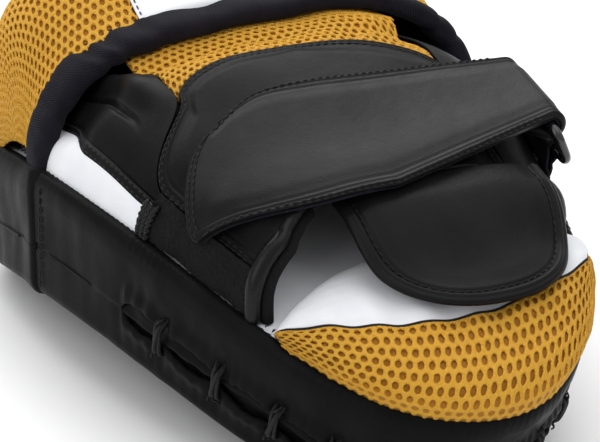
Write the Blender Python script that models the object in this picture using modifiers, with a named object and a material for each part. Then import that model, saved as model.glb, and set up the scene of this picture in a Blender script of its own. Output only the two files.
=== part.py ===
"""Curved focus mitt: a padded striking pad with a hand glove, finger hood and wrist strap.

The mitt lies strike face down.  Its shapes are laid out in pad coordinates: u across
the pad, v along its back towards the fingers and w up from its back, and bend() wraps
them onto the arched pad.  Lengths are in metres, +Z is up, +Y is the finger end.
"""
import math

import bmesh
import bpy
from mathutils import Matrix, Vector

# Pad outline and arch
HALF_WIDTH = 0.094
HALF_LENGTH = 0.140
WIDEST_V = 0.068
FINGER_ROUNDNESS = 2.74
WRIST_ROUNDNESS = 2.17
WAIST = 0.28
THICKNESS = 0.046
BEND_RADIUS = 0.316
LAND_V = 0.131
APEX = BEND_RADIUS - (BEND_RADIUS - THICKNESS) * math.cos(LAND_V / BEND_RADIUS)
CENTRE_Y = 0.0016

# Skins and gaps
GAP = 0.0003
SEAM_GAP = 0.0007
SKIN = 0.0013
FOAM_INSET = 0.0036
FOAM_BACK_DEPTH = 0.011
FOAM_CORE_DEPTH = 0.0335
PANEL_INSET = 0.0022

# Side wall and its laced slot
WALL_SEAM_V = 0.038
WALL_BULGE = 0.0026
WALL_SHOULDER = ((-0.0002, 0.0), (0.0014, -0.0016), (0.0023, -0.008))
SLOT_W = -0.0265
SLOT_NEAR = math.radians(205)
SLOT_FAR = math.radians(335)
SLOT_END = math.radians(7.3)
TIE_COUNT = 12
TIE_HALF_GAP = 0.0012
OPEN_HALF_GAP = 0.0045
TIE_REACH = 0.0062
TIE_HALF_WIDTH = 0.0024
TIE_THICKNESS = 0.0016
LACE_HOLE_PLAY = 0.0005
LACE_HOLE_HALF_HEIGHT = 0.0014
LACE_HOLE_HALF_DEPTH = 0.004
TONGUE_INSET = 0.0016
TONGUE_REACH = 0.010
TONGUE_THICKNESS = 0.0012

# Hand glove
GLOVE_SQUARENESS = 2.6
GLOVE_LIFT = 0.0004
GLOVE_LOW = 0.033
GLOVE_RISE = 0.013
GLOVE_DIP = 0.004
GLOVE_TUCK = 0.0055         # how far the glove gives way under the hood's sagging mouth
GLOVE_FRONT_V = 0.052
MOUTH_V = -0.058
MOUTH_SWEEP = 0.012
KNUCKLE_V = 0.004
KNUCKLE_BOW = 0.016
PANEL_SKIN = 0.0014
PADDING_DEPTH = 0.0023
PADDING = 0.0030
LINING_DEPTH = 0.0060
LINING = 0.0012
PATCH_V = -0.028
GUSSET_ANGLE = 13
CUFF_ANGLE = 57
PANEL_EDGE = 0.4
PIPING_RADIUS = 0.0026
PIPING_DEPTH = 0.0032

# Finger hood
HOOD_HALF_WIDTH = 0.0935
HOOD_HEIGHT = 0.056
HOOD_CROWN = 0.62           # share of its height that the dome gains behind the mouth
HOOD_SAG = 0.0095           # how far the near half of the mouth sags
HOOD_SAG_LENGTH = 0.055     # how far back from the mouth the sag fades out
HOOD_SQUARENESS = 2.8
HOOD_MOUTH_V = 0.037
HOOD_MOUTH_LEAN = 0.007
HOOD_SKIN = 0.0016
HOOD_FOAM_DEPTH = 0.0023
HOOD_FOAM = 0.0035
HOOD_LINING_DEPTH = 0.0067
HOOD_EDGE = 0.5
BINDING_OUTSIDE = 0.0012
BINDING_INSIDE = 0.0072
BINDING_WIDTH = 0.011
HOOD_CENTRE_ANGLE = 69

# Wrist cushion
CUSHION_HALF_WIDTH = 0.0625
CUSHION_OVERHANG = 0.003
CUSHION_HEIGHT = 0.0145
CUSHION_COVER = 0.0015
FOAM_MARGIN = 0.0065

# Strap, its ring and tab
RING_U = 0.0725
RING_V = -0.025
RING_W = 0.0345
RING_SKEW = math.radians(9)
RING_WIRE = 0.002
RING_HALF_LENGTH = 0.028
RING_DROP = 0.013
RING_LEAN = 0.0068
STRAP_HALF_WIDTH = 0.024
STRAP_MIDDLE_HALF_WIDTH = 0.028
STRAP_TIP_HALF_WIDTH = 0.0155
STRAP_TIP_V = -0.041
STRAP_MIDDLE_V = -0.038
STRAP_LIFT = 0.002
STRAP_LINING = 0.0014
STRAP_COVER = 0.0016
STRAP_SPLIT = 62
FOLD_CLEARANCE = 0.0005
STRAP_TAIL = 0.011
STRAP_TAIL_RISE = 0.0042
HOOK_THICKNESS = 0.0011
RING_CORNER = 0.004
TAB_THICKNESS = 0.0012
TAB_HALF_WIDTH = 0.017

# Wrist flap
FLAP_HINGE_V = -0.0665
FLAP_W = 0.0335
FLAP_DROP = 0.0145
FLAP_DROOP = 0.004
FLAP_U = 0.017
FLAP_HALF_WIDTH = 0.044
FLAP_LENGTH = 0.042
FLAP_SKIN = 0.0014
ROOT_START = (FLAP_HINGE_V - MOUTH_V + 0.001) / FLAP_LENGTH

COLLECTION = "focus_mitt"

WHITE = ((0.78, 0.79, 0.81), 0.42)
BLACK = ((0.018, 0.018, 0.020), 0.42)
GOLD = ((0.72, 0.36, 0.06), 0.70)
WEBBING = ((0.016, 0.015, 0.022), 0.85)
VELOUR = ((0.006, 0.006, 0.006), 0.95)
FOAM = ((0.42, 0.42, 0.40), 0.90)
CORD = ((0.012, 0.012, 0.013), 0.55)
PLASTIC = ((0.010, 0.010, 0.010), 0.18)


def clear_scene():
    """Remove every object that the file opened with."""
    for item in list(bpy.data.objects):
        bpy.data.objects.remove(item, do_unlink=True)


def smoothstep(x):
    """Ease from 0 to 1 as x goes from 0 to 1."""
    x = min(max(x, 0.0), 1.0)
    return x * x * (3 - 2 * x)


def power(x, exponent):
    """Signed power, for superellipse arcs."""
    return math.copysign(abs(x) ** exponent, x)


def steps(first, last, count):
    """count + 1 evenly spaced values from first to last."""
    return [first + (last - first) * i / count for i in range(count + 1)]


# ---------------------------------------------------------------- pad coordinates

def bend(u, v, w):
    """Pad coordinates to world coordinates on the arched pad."""
    angle = v / BEND_RADIUS
    radius = BEND_RADIUS + w
    z = APEX + radius * math.cos(angle) - BEND_RADIUS
    return Vector((u, radius * math.sin(angle) - CENTRE_Y, z))


def outline(angle, offset=0.0):
    """Point (u, v) of the pad's outline, moved outwards by offset; 90 degrees is the finger end."""
    c, s = math.cos(angle), math.sin(angle)
    finger = s >= 0
    exponent = FINGER_ROUNDNESS if finger else WRIST_ROUNDNESS
    reach = HALF_LENGTH - WIDEST_V if finger else HALF_LENGTH + WIDEST_V
    y = abs(s) ** (2 / exponent)
    waist = 1 if finger else 1 - WAIST * y * y * (1 - y)
    u = power(c, 2 / exponent) * waist * (HALF_WIDTH + offset)
    v = WIDEST_V + math.copysign(y, s) * (reach + offset)
    return u, v


def half_width(v, offset=0.0):
    """Half the pad's width at v, with its outline moved outwards by offset."""
    finger = v >= WIDEST_V
    exponent = FINGER_ROUNDNESS if finger else WRIST_ROUNDNESS
    reach = (HALF_LENGTH - WIDEST_V if finger else HALF_LENGTH + WIDEST_V) + offset
    y = min(abs(v - WIDEST_V) / reach, 1.0)
    waist = 1 if finger else 1 - WAIST * y * y * (1 - y)
    return (HALF_WIDTH + offset) * waist * (1 - y ** exponent) ** (1 / exponent)


def end_v(u, finger, offset=0.0):
    """Where the outline crosses a line of constant u, at the finger or the wrist end."""
    low, high = (WIDEST_V, HALF_LENGTH + offset) if finger else (-HALF_LENGTH - offset, WIDEST_V)
    for _ in range(40):
        middle = (low + high) / 2
        inside = half_width(middle, offset) > abs(u)
        if inside == finger:
            low = middle
        else:
            high = middle
    return (low + high) / 2


def wall_angle(v):
    """Outline angle of the near edge at v, towards the wrist from the widest point."""
    y = (WIDEST_V - v) / (HALF_LENGTH + WIDEST_V)
    return math.pi + math.asin(y ** (WRIST_ROUNDNESS / 2))


# ---------------------------------------------------------------- building blocks

def material(name, look):
    """Principled material with one colour and roughness."""
    colour, roughness = look
    mat = bpy.data.materials.new(name)
    mat.use_nodes = True
    shader = mat.node_tree.nodes["Principled BSDF"]
    shader.inputs["Base Color"].default_value = (*colour, 1.0)
    shader.inputs["Roughness"].default_value = roughness
    shader.inputs["Metallic"].default_value = 0.0
    mat.diffuse_color = (*colour, 1.0)
    return mat


def link(name, mesh, look, collection=COLLECTION):
    """Make an object of a mesh or curve, with its own material, in a collection."""
    if collection not in bpy.data.collections:
        bpy.context.scene.collection.children.link(bpy.data.collections.new(collection))
    item = bpy.data.objects.new(name, mesh)
    item.data.materials.append(material(name, look))
    bpy.data.collections[collection].objects.link(item)
    return item


def shade(mesh):
    """Smooth shading with sharp edges kept."""
    mesh.shade_smooth()
    mesh.set_sharp_from_angle(angle=math.radians(40))


def mesh_of(name, points, faces):
    """Mesh from points and faces, with points that coincide joined."""
    bm = bmesh.new()
    verts = [bm.verts.new(p) for p in points]
    for face in faces:
        bm.faces.new([verts[i] for i in face])
    bmesh.ops.remove_doubles(bm, verts=bm.verts, dist=0.00001)
    mesh = bpy.data.meshes.new(name)
    bm.to_mesh(mesh)
    bm.free()
    shade(mesh)
    return mesh


def facing_out(mesh):
    """Turn every face of a closed mesh outwards."""
    bm = bmesh.new()
    bm.from_mesh(mesh)
    bmesh.ops.recalc_face_normals(bm, faces=bm.faces)
    bm.to_mesh(mesh)
    bm.free()
    return mesh


def grid_faces(rows, columns, flip=False, first=0):
    """Quads of a grid of rows by columns points, stored row after row."""
    faces = []
    for i in range(rows - 1):
        for j in range(columns - 1):
            a = first + i * columns + j
            quad = (a, a + 1, a + columns + 1, a + columns)
            faces.append(quad[::-1] if flip else quad)
    return faces


def thicken(item, thickness):
    """Make an open surface solid on its inner side."""
    solid = item.modifiers.new("thickness", "SOLIDIFY")
    solid.thickness = thickness
    solid.offset = -1
    solid.use_even_offset = True
    return item


def sheet(name, rows, thickness, look, flip=False):
    """Open surface through rows of points, made solid on its inner side."""
    points = [p for row in rows for p in row]
    mesh = mesh_of(name, points, grid_faces(len(rows), len(rows[0]), flip))
    return thicken(link(name, mesh, look), thickness)


def block(name, top, bottom, look):
    """Closed loft between an upper and a lower grid of points."""
    rows, columns = len(top), len(top[0])
    count = rows * columns
    points = [p for row in top for p in row] + [p for row in bottom for p in row]
    faces = grid_faces(rows, columns) + grid_faces(rows, columns, True, count)
    edge = [(0, j) for j in range(columns)]
    edge += [(i, columns - 1) for i in range(1, rows)]
    edge += [(rows - 1, j) for j in range(columns - 2, -1, -1)]
    edge += [(i, 0) for i in range(rows - 2, 0, -1)]
    ring = [i * columns + j for i, j in edge]
    for a, b in zip(ring, ring[1:] + ring[:1]):
        faces.append((b, a, a + count, b + count))
    return link(name, mesh_of(name, points, faces), look)


def tube(name, points, radius, look, cyclic=False):
    """Round tube along a line of points, with closed ends."""
    curve = bpy.data.curves.new(name, "CURVE")
    curve.dimensions = "3D"
    curve.bevel_depth = radius
    curve.bevel_resolution = 2
    curve.use_fill_caps = True
    spline = curve.splines.new("POLY")
    spline.points.add(len(points) - 1)
    for slot, p in zip(spline.points, points):
        slot.co = (*p, 1.0)
    spline.use_cyclic_u = cyclic
    return link(name, curve, look)


# ---------------------------------------------------------------- pad

def stations(offset):
    """Values of v for the rows of a sheet as long as the pad, denser towards both ends."""
    reach = HALF_LENGTH + offset
    values = [-reach * math.cos(a) for a in steps(0.1, math.pi - 0.1, 16)]
    values = [v for v in values if abs(abs(v) - LAND_V) > 0.0035]
    return sorted(values + [-LAND_V, LAND_V])


def layer(offset, w, floor=None, columns=10):
    """Rows of points across the whole pad at one depth, not reaching below floor."""
    rows = []
    for v in stations(offset):
        half = half_width(v, offset)
        row = [bend(u, v, w) for u in steps(-half, half, columns)]
        if floor is not None:
            row = [Vector((p.x, p.y, max(p.z, floor))) for p in row]
        rows.append(row)
    return rows


def make_pad():
    """Back panel, three foam layers and the strike cover, flattened where the pad stands."""
    strike_bottom = -THICKNESS + SKIN + GAP
    inset = -FOAM_INSET
    sheet("back_panel", layer(-PANEL_INSET, 0.0), SKIN, WHITE)
    block("foam_back_layer", layer(inset, -SKIN - GAP), layer(inset, -FOAM_BACK_DEPTH), FOAM)
    block("foam_core", layer(inset, -FOAM_BACK_DEPTH - GAP), layer(inset, -FOAM_CORE_DEPTH), FOAM)
    block("foam_strike_layer", layer(inset, -FOAM_CORE_DEPTH - GAP),
          layer(inset, strike_bottom, SKIN + GAP), FOAM)
    sheet("strike_cover", layer(-PANEL_INSET, -THICKNESS, 0.0), SKIN, BLACK, flip=True)


def wall_profile(lip):
    """Offsets and depths of the wall's rows above a lip at depth lip, from the top down."""
    return [*WALL_SHOULDER, (WALL_BULGE, lip)]


def wall_point(angle, offset, w):
    """Point on the wall, kept above the ground."""
    p = bend(*outline(angle, offset), w)
    p.z = max(p.z, SKIN * 0.4)
    return p


def wall_column(angle, gap):
    """Points down the wall at one outline angle, with the slot open by twice gap."""
    upper = wall_profile(SLOT_W + gap)
    lower = [(offset, -THICKNESS - w) for offset, w in wall_profile(-THICKNESS - SLOT_W + gap)]
    return [wall_point(angle, *row) for row in upper + lower[::-1]]


def wall_mesh(name, angles, gap_at):
    """Wall strip around part of the outline; the slot is open where gap_at is above 0."""
    columns = [wall_column(angle, gap_at(angle)) for angle in angles]
    points = [p for column in columns for p in column]
    rows = len(columns[0])
    faces = [f for f in grid_faces(len(columns), rows) if f[0] % rows != rows // 2 - 1]
    return mesh_of(name, points, faces)


def tie_angles():
    """Outline angles of the lace ties, spread evenly between the slot's end openings."""
    return steps(SLOT_NEAR + SLOT_END, SLOT_FAR - SLOT_END, TIE_COUNT - 1)


def slot_gap(angle):
    """Half the slot's opening: closed at its ends, pinched at each tie."""
    end = min(angle - SLOT_NEAR, SLOT_FAR - angle)
    if end <= 0:
        return 0.0
    if end < SLOT_END:
        return TIE_HALF_GAP + (OPEN_HALF_GAP - TIE_HALF_GAP) * math.sin(math.pi * end / SLOT_END)
    ties = tie_angles()
    open_part = abs(math.sin(math.pi * (angle - ties[0]) / (ties[1] - ties[0])))
    return TIE_HALF_GAP + (OPEN_HALF_GAP - TIE_HALF_GAP) * open_part ** 0.8


def tie_frame(angle, w):
    """Point on the wall's outer face, and the directions along it, outwards and up."""
    here = bend(*outline(angle, WALL_BULGE), w)
    along = (bend(*outline(angle + 0.01, WALL_BULGE), w) - here).normalized()
    up = (bend(*outline(angle, WALL_BULGE), w + 0.001) - here).normalized()
    return here, along, along.cross(up).normalized(), up


def make_walls():
    """Finger-end wall, laced wrist wall with its lace holes, and the tongue behind the slot."""
    near = wall_angle(WALL_SEAM_V)
    far = 3 * math.pi - near
    seam = SEAM_GAP / HALF_WIDTH
    finger_angles = steps(far - 2 * math.pi + seam, near - seam, 22)
    finger = link("wall_finger_end", wall_mesh("wall_finger_end", finger_angles, lambda a: 0.0), BLACK)
    thicken(finger, SKIN)
    wrist_angles = steps(near, SLOT_NEAR, 3)[:-1]
    wrist_angles += steps(SLOT_NEAR, SLOT_NEAR + SLOT_END, 4)[:-1]
    wrist_angles += steps(SLOT_NEAR + SLOT_END, SLOT_FAR - SLOT_END, 6 * (TIE_COUNT - 1))
    wrist_angles += steps(SLOT_FAR - SLOT_END, SLOT_FAR, 4)[1:]
    wrist_angles += steps(SLOT_FAR, far, 4)[1:]
    wrist = link("wall_wrist", wall_mesh("wall_wrist", wrist_angles, slot_gap), BLACK)
    thicken(wrist, SKIN)
    cut_lace_holes(wrist)
    depths = steps(SLOT_W + TONGUE_REACH, SLOT_W - TONGUE_REACH, 2)
    rows = [[bend(*outline(a, -TONGUE_INSET), w) for w in depths]
            for a in steps(SLOT_NEAR - 0.03, SLOT_FAR + 0.03, 30)]
    sheet("slot_tongue", rows, TONGUE_THICKNESS, BLACK)


def box_points(centre, axes, halves):
    """Corners of a box about centre, along three axes."""
    signs = [(-1, -1), (1, -1), (1, 1), (-1, 1)]
    points = []
    for side in (-1, 1):
        for s, t in signs:
            points.append(centre + axes[0] * halves[0] * s + axes[1] * halves[1] * t
                          + axes[2] * halves[2] * side)
    return points


def cut_lace_holes(wall):
    """Cut the two slits that each lace tie passes through."""
    points, faces = [], []
    for angle in tie_angles():
        for side in (-1, 1):
            here, along, outward, up = tie_frame(angle, SLOT_W + side * TIE_REACH)
            first = len(points)
            halves = (TIE_HALF_WIDTH + LACE_HOLE_PLAY, LACE_HOLE_HALF_HEIGHT, LACE_HOLE_HALF_DEPTH)
            points += box_points(here, (along, up, outward), halves)
            quads = [(3, 2, 1, 0), (4, 5, 6, 7), (0, 1, 5, 4), (1, 2, 6, 5), (2, 3, 7, 6), (3, 0, 4, 7)]
            faces += [tuple(first + i for i in quad) for quad in quads]
    mesh = facing_out(mesh_of("lace_hole_cutter", points, faces))
    cutter = link("lace_hole_cutter", mesh, BLACK, "cutters")
    cutter.hide_render = True
    cutter.display_type = "WIRE"
    cut = wall.modifiers.new("lace_holes", "BOOLEAN")
    cut.operation = "DIFFERENCE"
    cut.object = cutter


def make_ties():
    """Lace ties: each a flat loop of wound cord through two slits, across the slot."""
    outer = GAP + TIE_THICKNESS / 2 + 0.0002
    inner = -SKIN - outer
    for number, angle in enumerate(tie_angles(), 1):
        here, along, outward, up = tie_frame(angle, SLOT_W)
        path = []
        for k in range(16):
            turn = 2 * math.pi * k / 16
            reach = power(math.cos(turn), 0.35) * TIE_REACH
            depth = (outer + inner) / 2 + power(math.sin(turn), 0.6) * (outer - inner) / 2
            path.append((reach, depth))
        points = []
        for k, (reach, depth) in enumerate(path):
            before, after = path[k - 1], path[(k + 1) % len(path)]
            tangent = Vector((after[0] - before[0], after[1] - before[1])).normalized()
            normal = Vector((tangent.y, -tangent.x)) * TIE_THICKNESS / 2
            for side, half in ((-1, -1), (1, -1), (1, 1), (-1, 1)):
                r, d = reach + normal.x * side, depth + normal.y * side
                points.append(here + up * r + outward * d + along * TIE_HALF_WIDTH * half)
        faces = []
        for k in range(16):
            a, b = 4 * k, 4 * ((k + 1) % 16)
            faces += [(a + m, a + (m + 1) % 4, b + (m + 1) % 4, b + m) for m in range(4)]
        name = f"lace_tie_{number}"
        link(name, facing_out(mesh_of(name, points, faces)), CORD)


# ---------------------------------------------------------------- wrist cushion

def cushion_edges(u):
    """Values of v of the cushion's inner edge, its cover seam and its outer edge."""
    across = (u / CUSHION_HALF_WIDTH) ** 2
    return -0.064 - 0.026 * across, -0.107 + 0.017 * across, end_v(u, False, CUSHION_OVERHANG)


def cushion_height(u, v):
    """Height of the cushion's dome above the back panel."""
    inner, _, outer = cushion_edges(u)
    t = min(max((v - inner) / (outer - inner), 0.0), 1.0)
    side = min(abs(u) / CUSHION_HALF_WIDTH, 1.0)
    height = CUSHION_HEIGHT * (1 - side ** 2.2) ** (1 / 2.2)
    crown = max(1 - abs(2 * t - 1) ** 2.6, 0.0) ** (1 / 2.6)
    return height * crown + CUSHION_COVER + 2 * GAP


def cushion_point(u, v, depth):
    """Point on the cushion, depth inside its outer surface."""
    return bend(u, v, max(cushion_height(u, v) - depth, 2 * GAP))


def make_cushion():
    """Domed wrist cushion: foam, white cover towards the hand and mesh cover at the wrist end."""
    cover, mesh, foam_top, foam_base = [], [], [], []
    for u in steps(-0.95 * CUSHION_HALF_WIDTH, 0.95 * CUSHION_HALF_WIDTH, 12):
        inner, seam, outer = cushion_edges(u)
        cover.append([cushion_point(u, v, 0.0) for v in steps(inner, seam + SEAM_GAP, 7)])
        mesh.append([cushion_point(u, v, 0.0) for v in steps(seam, outer, 7)])
        values = steps(inner - FOAM_MARGIN, outer + FOAM_MARGIN, 10)
        foam_top.append([cushion_point(u * 0.96, v, CUSHION_COVER + 5 * GAP) for v in values])
        foam_base.append([bend(u * 0.96, v, GAP) for v in values])
    sheet("wrist_cushion_cover", cover, CUSHION_COVER, WHITE)
    sheet("wrist_cushion_mesh", mesh, CUSHION_COVER, GOLD)
    top = [row[::-1] for row in foam_top]
    base = [row[::-1] for row in foam_base]
    block("wrist_cushion_foam", [list(c) for c in zip(*top)], [list(c) for c in zip(*base)], FOAM)


# ---------------------------------------------------------------- hand glove

def near_side(across):
    """1 over the near half of an arch, falling to 0 at its near foot and past its middle."""
    return smoothstep(across / 18) * (1 - smoothstep((across - 70) / 45))


def glove(angle, v, depth):
    """Point on the glove's arch; angle runs from 0 at the near edge to 180 at the far edge."""
    inset = 0.0025 + 0.0085 * smoothstep((v - 0.012) / 0.026)
    base = half_width(v) - inset - depth
    height = GLOVE_LOW + GLOVE_RISE * smoothstep((v + 0.045) / 0.070) - depth
    height -= GLOVE_DIP * max(0.0, (v - 0.020) / 0.030) ** 2
    height -= GLOVE_TUCK * near_side(angle) * smoothstep((v - 0.014) / 0.026)
    c, s = math.cos(math.radians(angle)), math.sin(math.radians(angle))
    exponent = 2 / GLOVE_SQUARENESS
    return bend(-power(c, exponent) * base, v, GLOVE_LIFT + height * max(s, 0.0) ** exponent)


def mouth_v(angle):
    """Where the glove's wrist mouth is, at each angle around its arch."""
    if angle < 90:
        low = MOUTH_V - 2 * MOUTH_SWEEP + MOUTH_SWEEP * min(angle / 50, 1.0)
        return low + MOUTH_SWEEP * smoothstep((angle - 42) / 28)
    return MOUTH_V - 0.004 * smoothstep((angle - 120) / 60)


def glove_rows(angles, low_v, high_v, depth, count):
    """Rows of glove points between two limits, each a function of the angle."""
    rows = []
    for i in range(count + 1):
        t = i / count
        rows.append([glove(a, low_v(a) + (high_v(a) - low_v(a)) * t, depth) for a in angles])
    return rows


def cuff_angle(v):
    """Angle of the hand-back panel's near edge at v: it runs down the side towards the wrist."""
    return CUFF_ANGLE - 33 * smoothstep((0.005 - v) / 0.035)


def make_glove():
    """Glove: lining, padding and outer panels from the wrist mouth to under the hood."""
    front = lambda a: GLOVE_FRONT_V
    whole = steps(3, 177, 22)
    sheet("glove_lining", glove_rows(whole, mouth_v, front, LINING_DEPTH, 10), LINING, BLACK)
    sheet("glove_padding", glove_rows(whole, mouth_v, front, PADDING_DEPTH, 10), PADDING, FOAM)
    far_angle = 180 - CUFF_ANGLE
    for side, name in ((0, "near"), (1, "far")):
        turn = (lambda a: 180 - a) if side else (lambda a: a)
        angles = sorted(turn(a) for a in steps(3, GUSSET_ANGLE - PANEL_EDGE, 3))
        rows = glove_rows(angles, lambda a: PATCH_V, front, 0.0, 8)
        sheet(f"gusset_{name}", rows, PANEL_SKIN, WHITE)
    rows = []
    for v in steps(PATCH_V, GLOVE_FRONT_V, 8):
        top = cuff_angle(v) - 4 * PANEL_EDGE
        rows.append([glove(a, v, 0.0) for a in steps(GUSSET_ANGLE + PANEL_EDGE, top, 5)])
    sheet("side_panel_near", rows, PANEL_SKIN, BLACK)
    first = far_angle + PANEL_EDGE
    last = 180 - GUSSET_ANGLE - PANEL_EDGE
    rows = glove_rows(steps(first, 177, 7), mouth_v, lambda a: PATCH_V - SEAM_GAP, 0.0, 3)
    for v in steps(PATCH_V, GLOVE_FRONT_V, 8):
        rows.append([glove(a, v, 0.0) for a in steps(first, last, 7)])
    sheet("side_panel_far", rows, PANEL_SKIN, BLACK)
    make_hand_back()


def knuckle_v(angle):
    """Where the knuckle mesh meets the hand-back panel, bowed towards the fingers."""
    across = (angle - CUFF_ANGLE) / (180 - 2 * CUFF_ANGLE)
    return KNUCKLE_V + KNUCKLE_BOW * max(math.sin(math.pi * across), 0.0) ** 0.7


def hand_back_edge(t):
    """Angle of the hand-back panel's near edge, t of the way from the mouth to the knuckles."""
    angle = CUFF_ANGLE
    for _ in range(12):
        v = mouth_v(angle) + (KNUCKLE_V - mouth_v(angle)) * t
        angle = (angle + cuff_angle(v)) / 2
    return angle


def make_hand_back():
    """Hand-back panel, knuckle mesh and the loop patch on the near side."""
    front = lambda a: GLOVE_FRONT_V
    far_angle = 180 - CUFF_ANGLE
    across = steps(CUFF_ANGLE + PANEL_EDGE, far_angle - PANEL_EDGE, 10)
    rows = glove_rows(across, lambda a: knuckle_v(a) + SEAM_GAP, front, 0.0, 5)
    sheet("knuckle_mesh", rows, PANEL_SKIN, GOLD)
    rows = []
    for t in steps(0, 1, 10):
        row = []
        for a in steps(hand_back_edge(t), far_angle, 12):
            front_v = knuckle_v(max(a, CUFF_ANGLE))
            row.append(glove(a, mouth_v(a) + (front_v - mouth_v(a)) * t, 0.0))
        rows.append(row)
    sheet("hand_back_panel", rows, PANEL_SKIN, BLACK)
    rows = glove_rows(steps(3, cuff_angle(PATCH_V) - 2 * PANEL_EDGE, 5), mouth_v,
                      lambda a: PATCH_V - SEAM_GAP, 0.0, 6)
    sheet("loop_patch", rows, PANEL_SKIN, VELOUR)


def make_mouth_piping():
    """Rolled edges of the glove's wrist mouth, beside the flap."""
    for name, angles in (("near", steps(6, 60, 14)), ("far", steps(176, 132, 12))):
        points = [glove(a, mouth_v(a) - PIPING_RADIUS - GAP * 2, PIPING_DEPTH) for a in angles]
        tube(f"mouth_piping_{name}", points, PIPING_RADIUS, BLACK)


# ---------------------------------------------------------------- finger hood

def hood(across, over, depth, mouth=0.0):
    """Point on the hood: across 0 to 180 from near to far, over 0 to 90 from mouth to rim."""
    c, s = math.cos(math.radians(across)), math.sin(math.radians(across))
    exponent = 2 / HOOD_SQUARENESS
    u = -power(c, exponent) * (HOOD_HALF_WIDTH - depth)
    height = (HOOD_HEIGHT - depth) * max(s, 0.0) ** exponent
    start = HOOD_MOUTH_V + HOOD_MOUTH_LEAN * s + mouth
    finish = end_v(min(abs(u), HOOD_HALF_WIDTH - depth), True, -depth - 0.0005)
    t = math.radians(over)
    v = start + (finish - start) * math.sin(t) ** 0.95
    height *= 1 + HOOD_CROWN * math.sin(2 * t) * math.cos(t) ** 2
    sag = HOOD_SAG * near_side(across) * max(1 - (v - HOOD_MOUTH_V) / HOOD_SAG_LENGTH, 0.0) ** 2
    return bend(u, v, GAP * 2 + height * max(math.cos(t), 0.0) ** 0.7 - sag)


def hood_rows(first, last, depth, columns):
    """Rows of hood points from the binding to the rim."""
    start = BINDING_WIDTH + 0.0004
    return [[hood(a, over, depth, start) for a in steps(first, last, columns)]
            for over in steps(0, 90, 9)]


def make_hood():
    """Hood: lining, foam, mesh sides and plain centre panel, bound at the mouth."""
    centre = HOOD_CENTRE_ANGLE
    sheet("hood_lining", hood_rows(2, 178, HOOD_LINING_DEPTH, 20), LINING, BLACK)
    sheet("hood_foam", hood_rows(2, 178, HOOD_FOAM_DEPTH, 20), HOOD_FOAM, FOAM)
    sheet("hood_mesh_near", hood_rows(2, centre - HOOD_EDGE, 0.0, 8), HOOD_SKIN, GOLD)
    sheet("hood_centre_panel", hood_rows(centre, 180 - centre, 0.0, 8), HOOD_SKIN, WHITE)
    sheet("hood_mesh_far", hood_rows(180 - centre + HOOD_EDGE, 178, 0.0, 8), HOOD_SKIN, GOLD)
    top, bottom = [], []
    for step in steps(0, BINDING_WIDTH, 3):
        angles = steps(1.5, 178.5, 28)
        top.append([hood(a, 0, -BINDING_OUTSIDE, step) for a in angles])
        bottom.append([hood(a, 0, BINDING_INSIDE, step) for a in angles])
    block("hood_binding", top, bottom, WEBBING)


# ---------------------------------------------------------------- strap, ring and tab

def ring_frame():
    """Frame at the ring's strap bar: x away from the hand, y along the bar, z up."""
    here = bend(RING_U, RING_V, RING_W)
    ahead = bend(RING_U + 0.01 * math.sin(RING_SKEW), RING_V + 0.01 * math.cos(RING_SKEW), RING_W)
    y = (ahead - here).normalized()
    up = (bend(RING_U, RING_V, RING_W + 0.01) - here).normalized()
    x = y.cross(up).normalized()
    frame = Matrix((x, y, x.cross(y))).transposed().to_4x4()
    frame.translation = here
    return frame


def strap_row(side, lift, part):
    """Points along the strap at one place across it; side runs from -1 at the wrist edge to 1."""
    frame = ring_frame()
    near = []
    end = 31 + 17 * side
    first, last = (end, STRAP_SPLIT - 0.5) if part == "tip" else (STRAP_SPLIT + 0.5, 88)
    for a in steps(first, last, 5 if part == "tip" else 4):
        along = (a - end) / (88 - end)
        centre = STRAP_TIP_V + (STRAP_MIDDLE_V - STRAP_TIP_V) * along
        growth = smoothstep(along / 0.8)
        half = STRAP_TIP_HALF_WIDTH + (STRAP_MIDDLE_HALF_WIDTH - STRAP_TIP_HALF_WIDTH) * growth
        near.append(glove(a, centre + half * side, -lift))
    if part == "tip":
        return near
    inner = RING_WIRE + FOLD_CLEARANCE + (lift - STRAP_LIFT)
    y = STRAP_HALF_WIDTH * side
    fold = [frame @ Vector((inner * math.sin(t), y, inner * math.cos(t)))
            for t in steps(0, math.pi, 8)]
    fold.append(frame @ Vector((-STRAP_TAIL, y, STRAP_TAIL_RISE - inner)))
    start, finish = near[-1], fold[0]
    middle = [start.lerp(finish, t) for t in (0.25, 0.5, 0.75)]
    return near + middle + fold


def strap_sheet(name, lift, thickness, part, look):
    """One layer of the strap or of its tip, lift above the glove at its outer face."""
    rows = [strap_row(side, lift, part) for side in steps(-1, 1, 6)]
    sheet(name, rows, thickness, look)


def make_strap():
    """Strap folded round the ring, its liftable tip and the hook patch under the tip."""
    lining = STRAP_LIFT + STRAP_LINING
    cover = lining + GAP + STRAP_COVER
    strap_sheet("strap_lining", lining, STRAP_LINING, "main", WEBBING)
    strap_sheet("strap_cover", cover, STRAP_COVER, "main", BLACK)
    strap_sheet("strap_tip_lining", lining, STRAP_LINING, "tip", WEBBING)
    strap_sheet("strap_tip_cover", cover, STRAP_COVER, "tip", BLACK)
    rows = []
    for side in steps(-0.8, 0.8, 4):
        row = strap_row(side, STRAP_LIFT - GAP, "tip")
        rows.append(row[:-1])
    sheet("hook_patch", rows, HOOK_THICKNESS, VELOUR)


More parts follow.
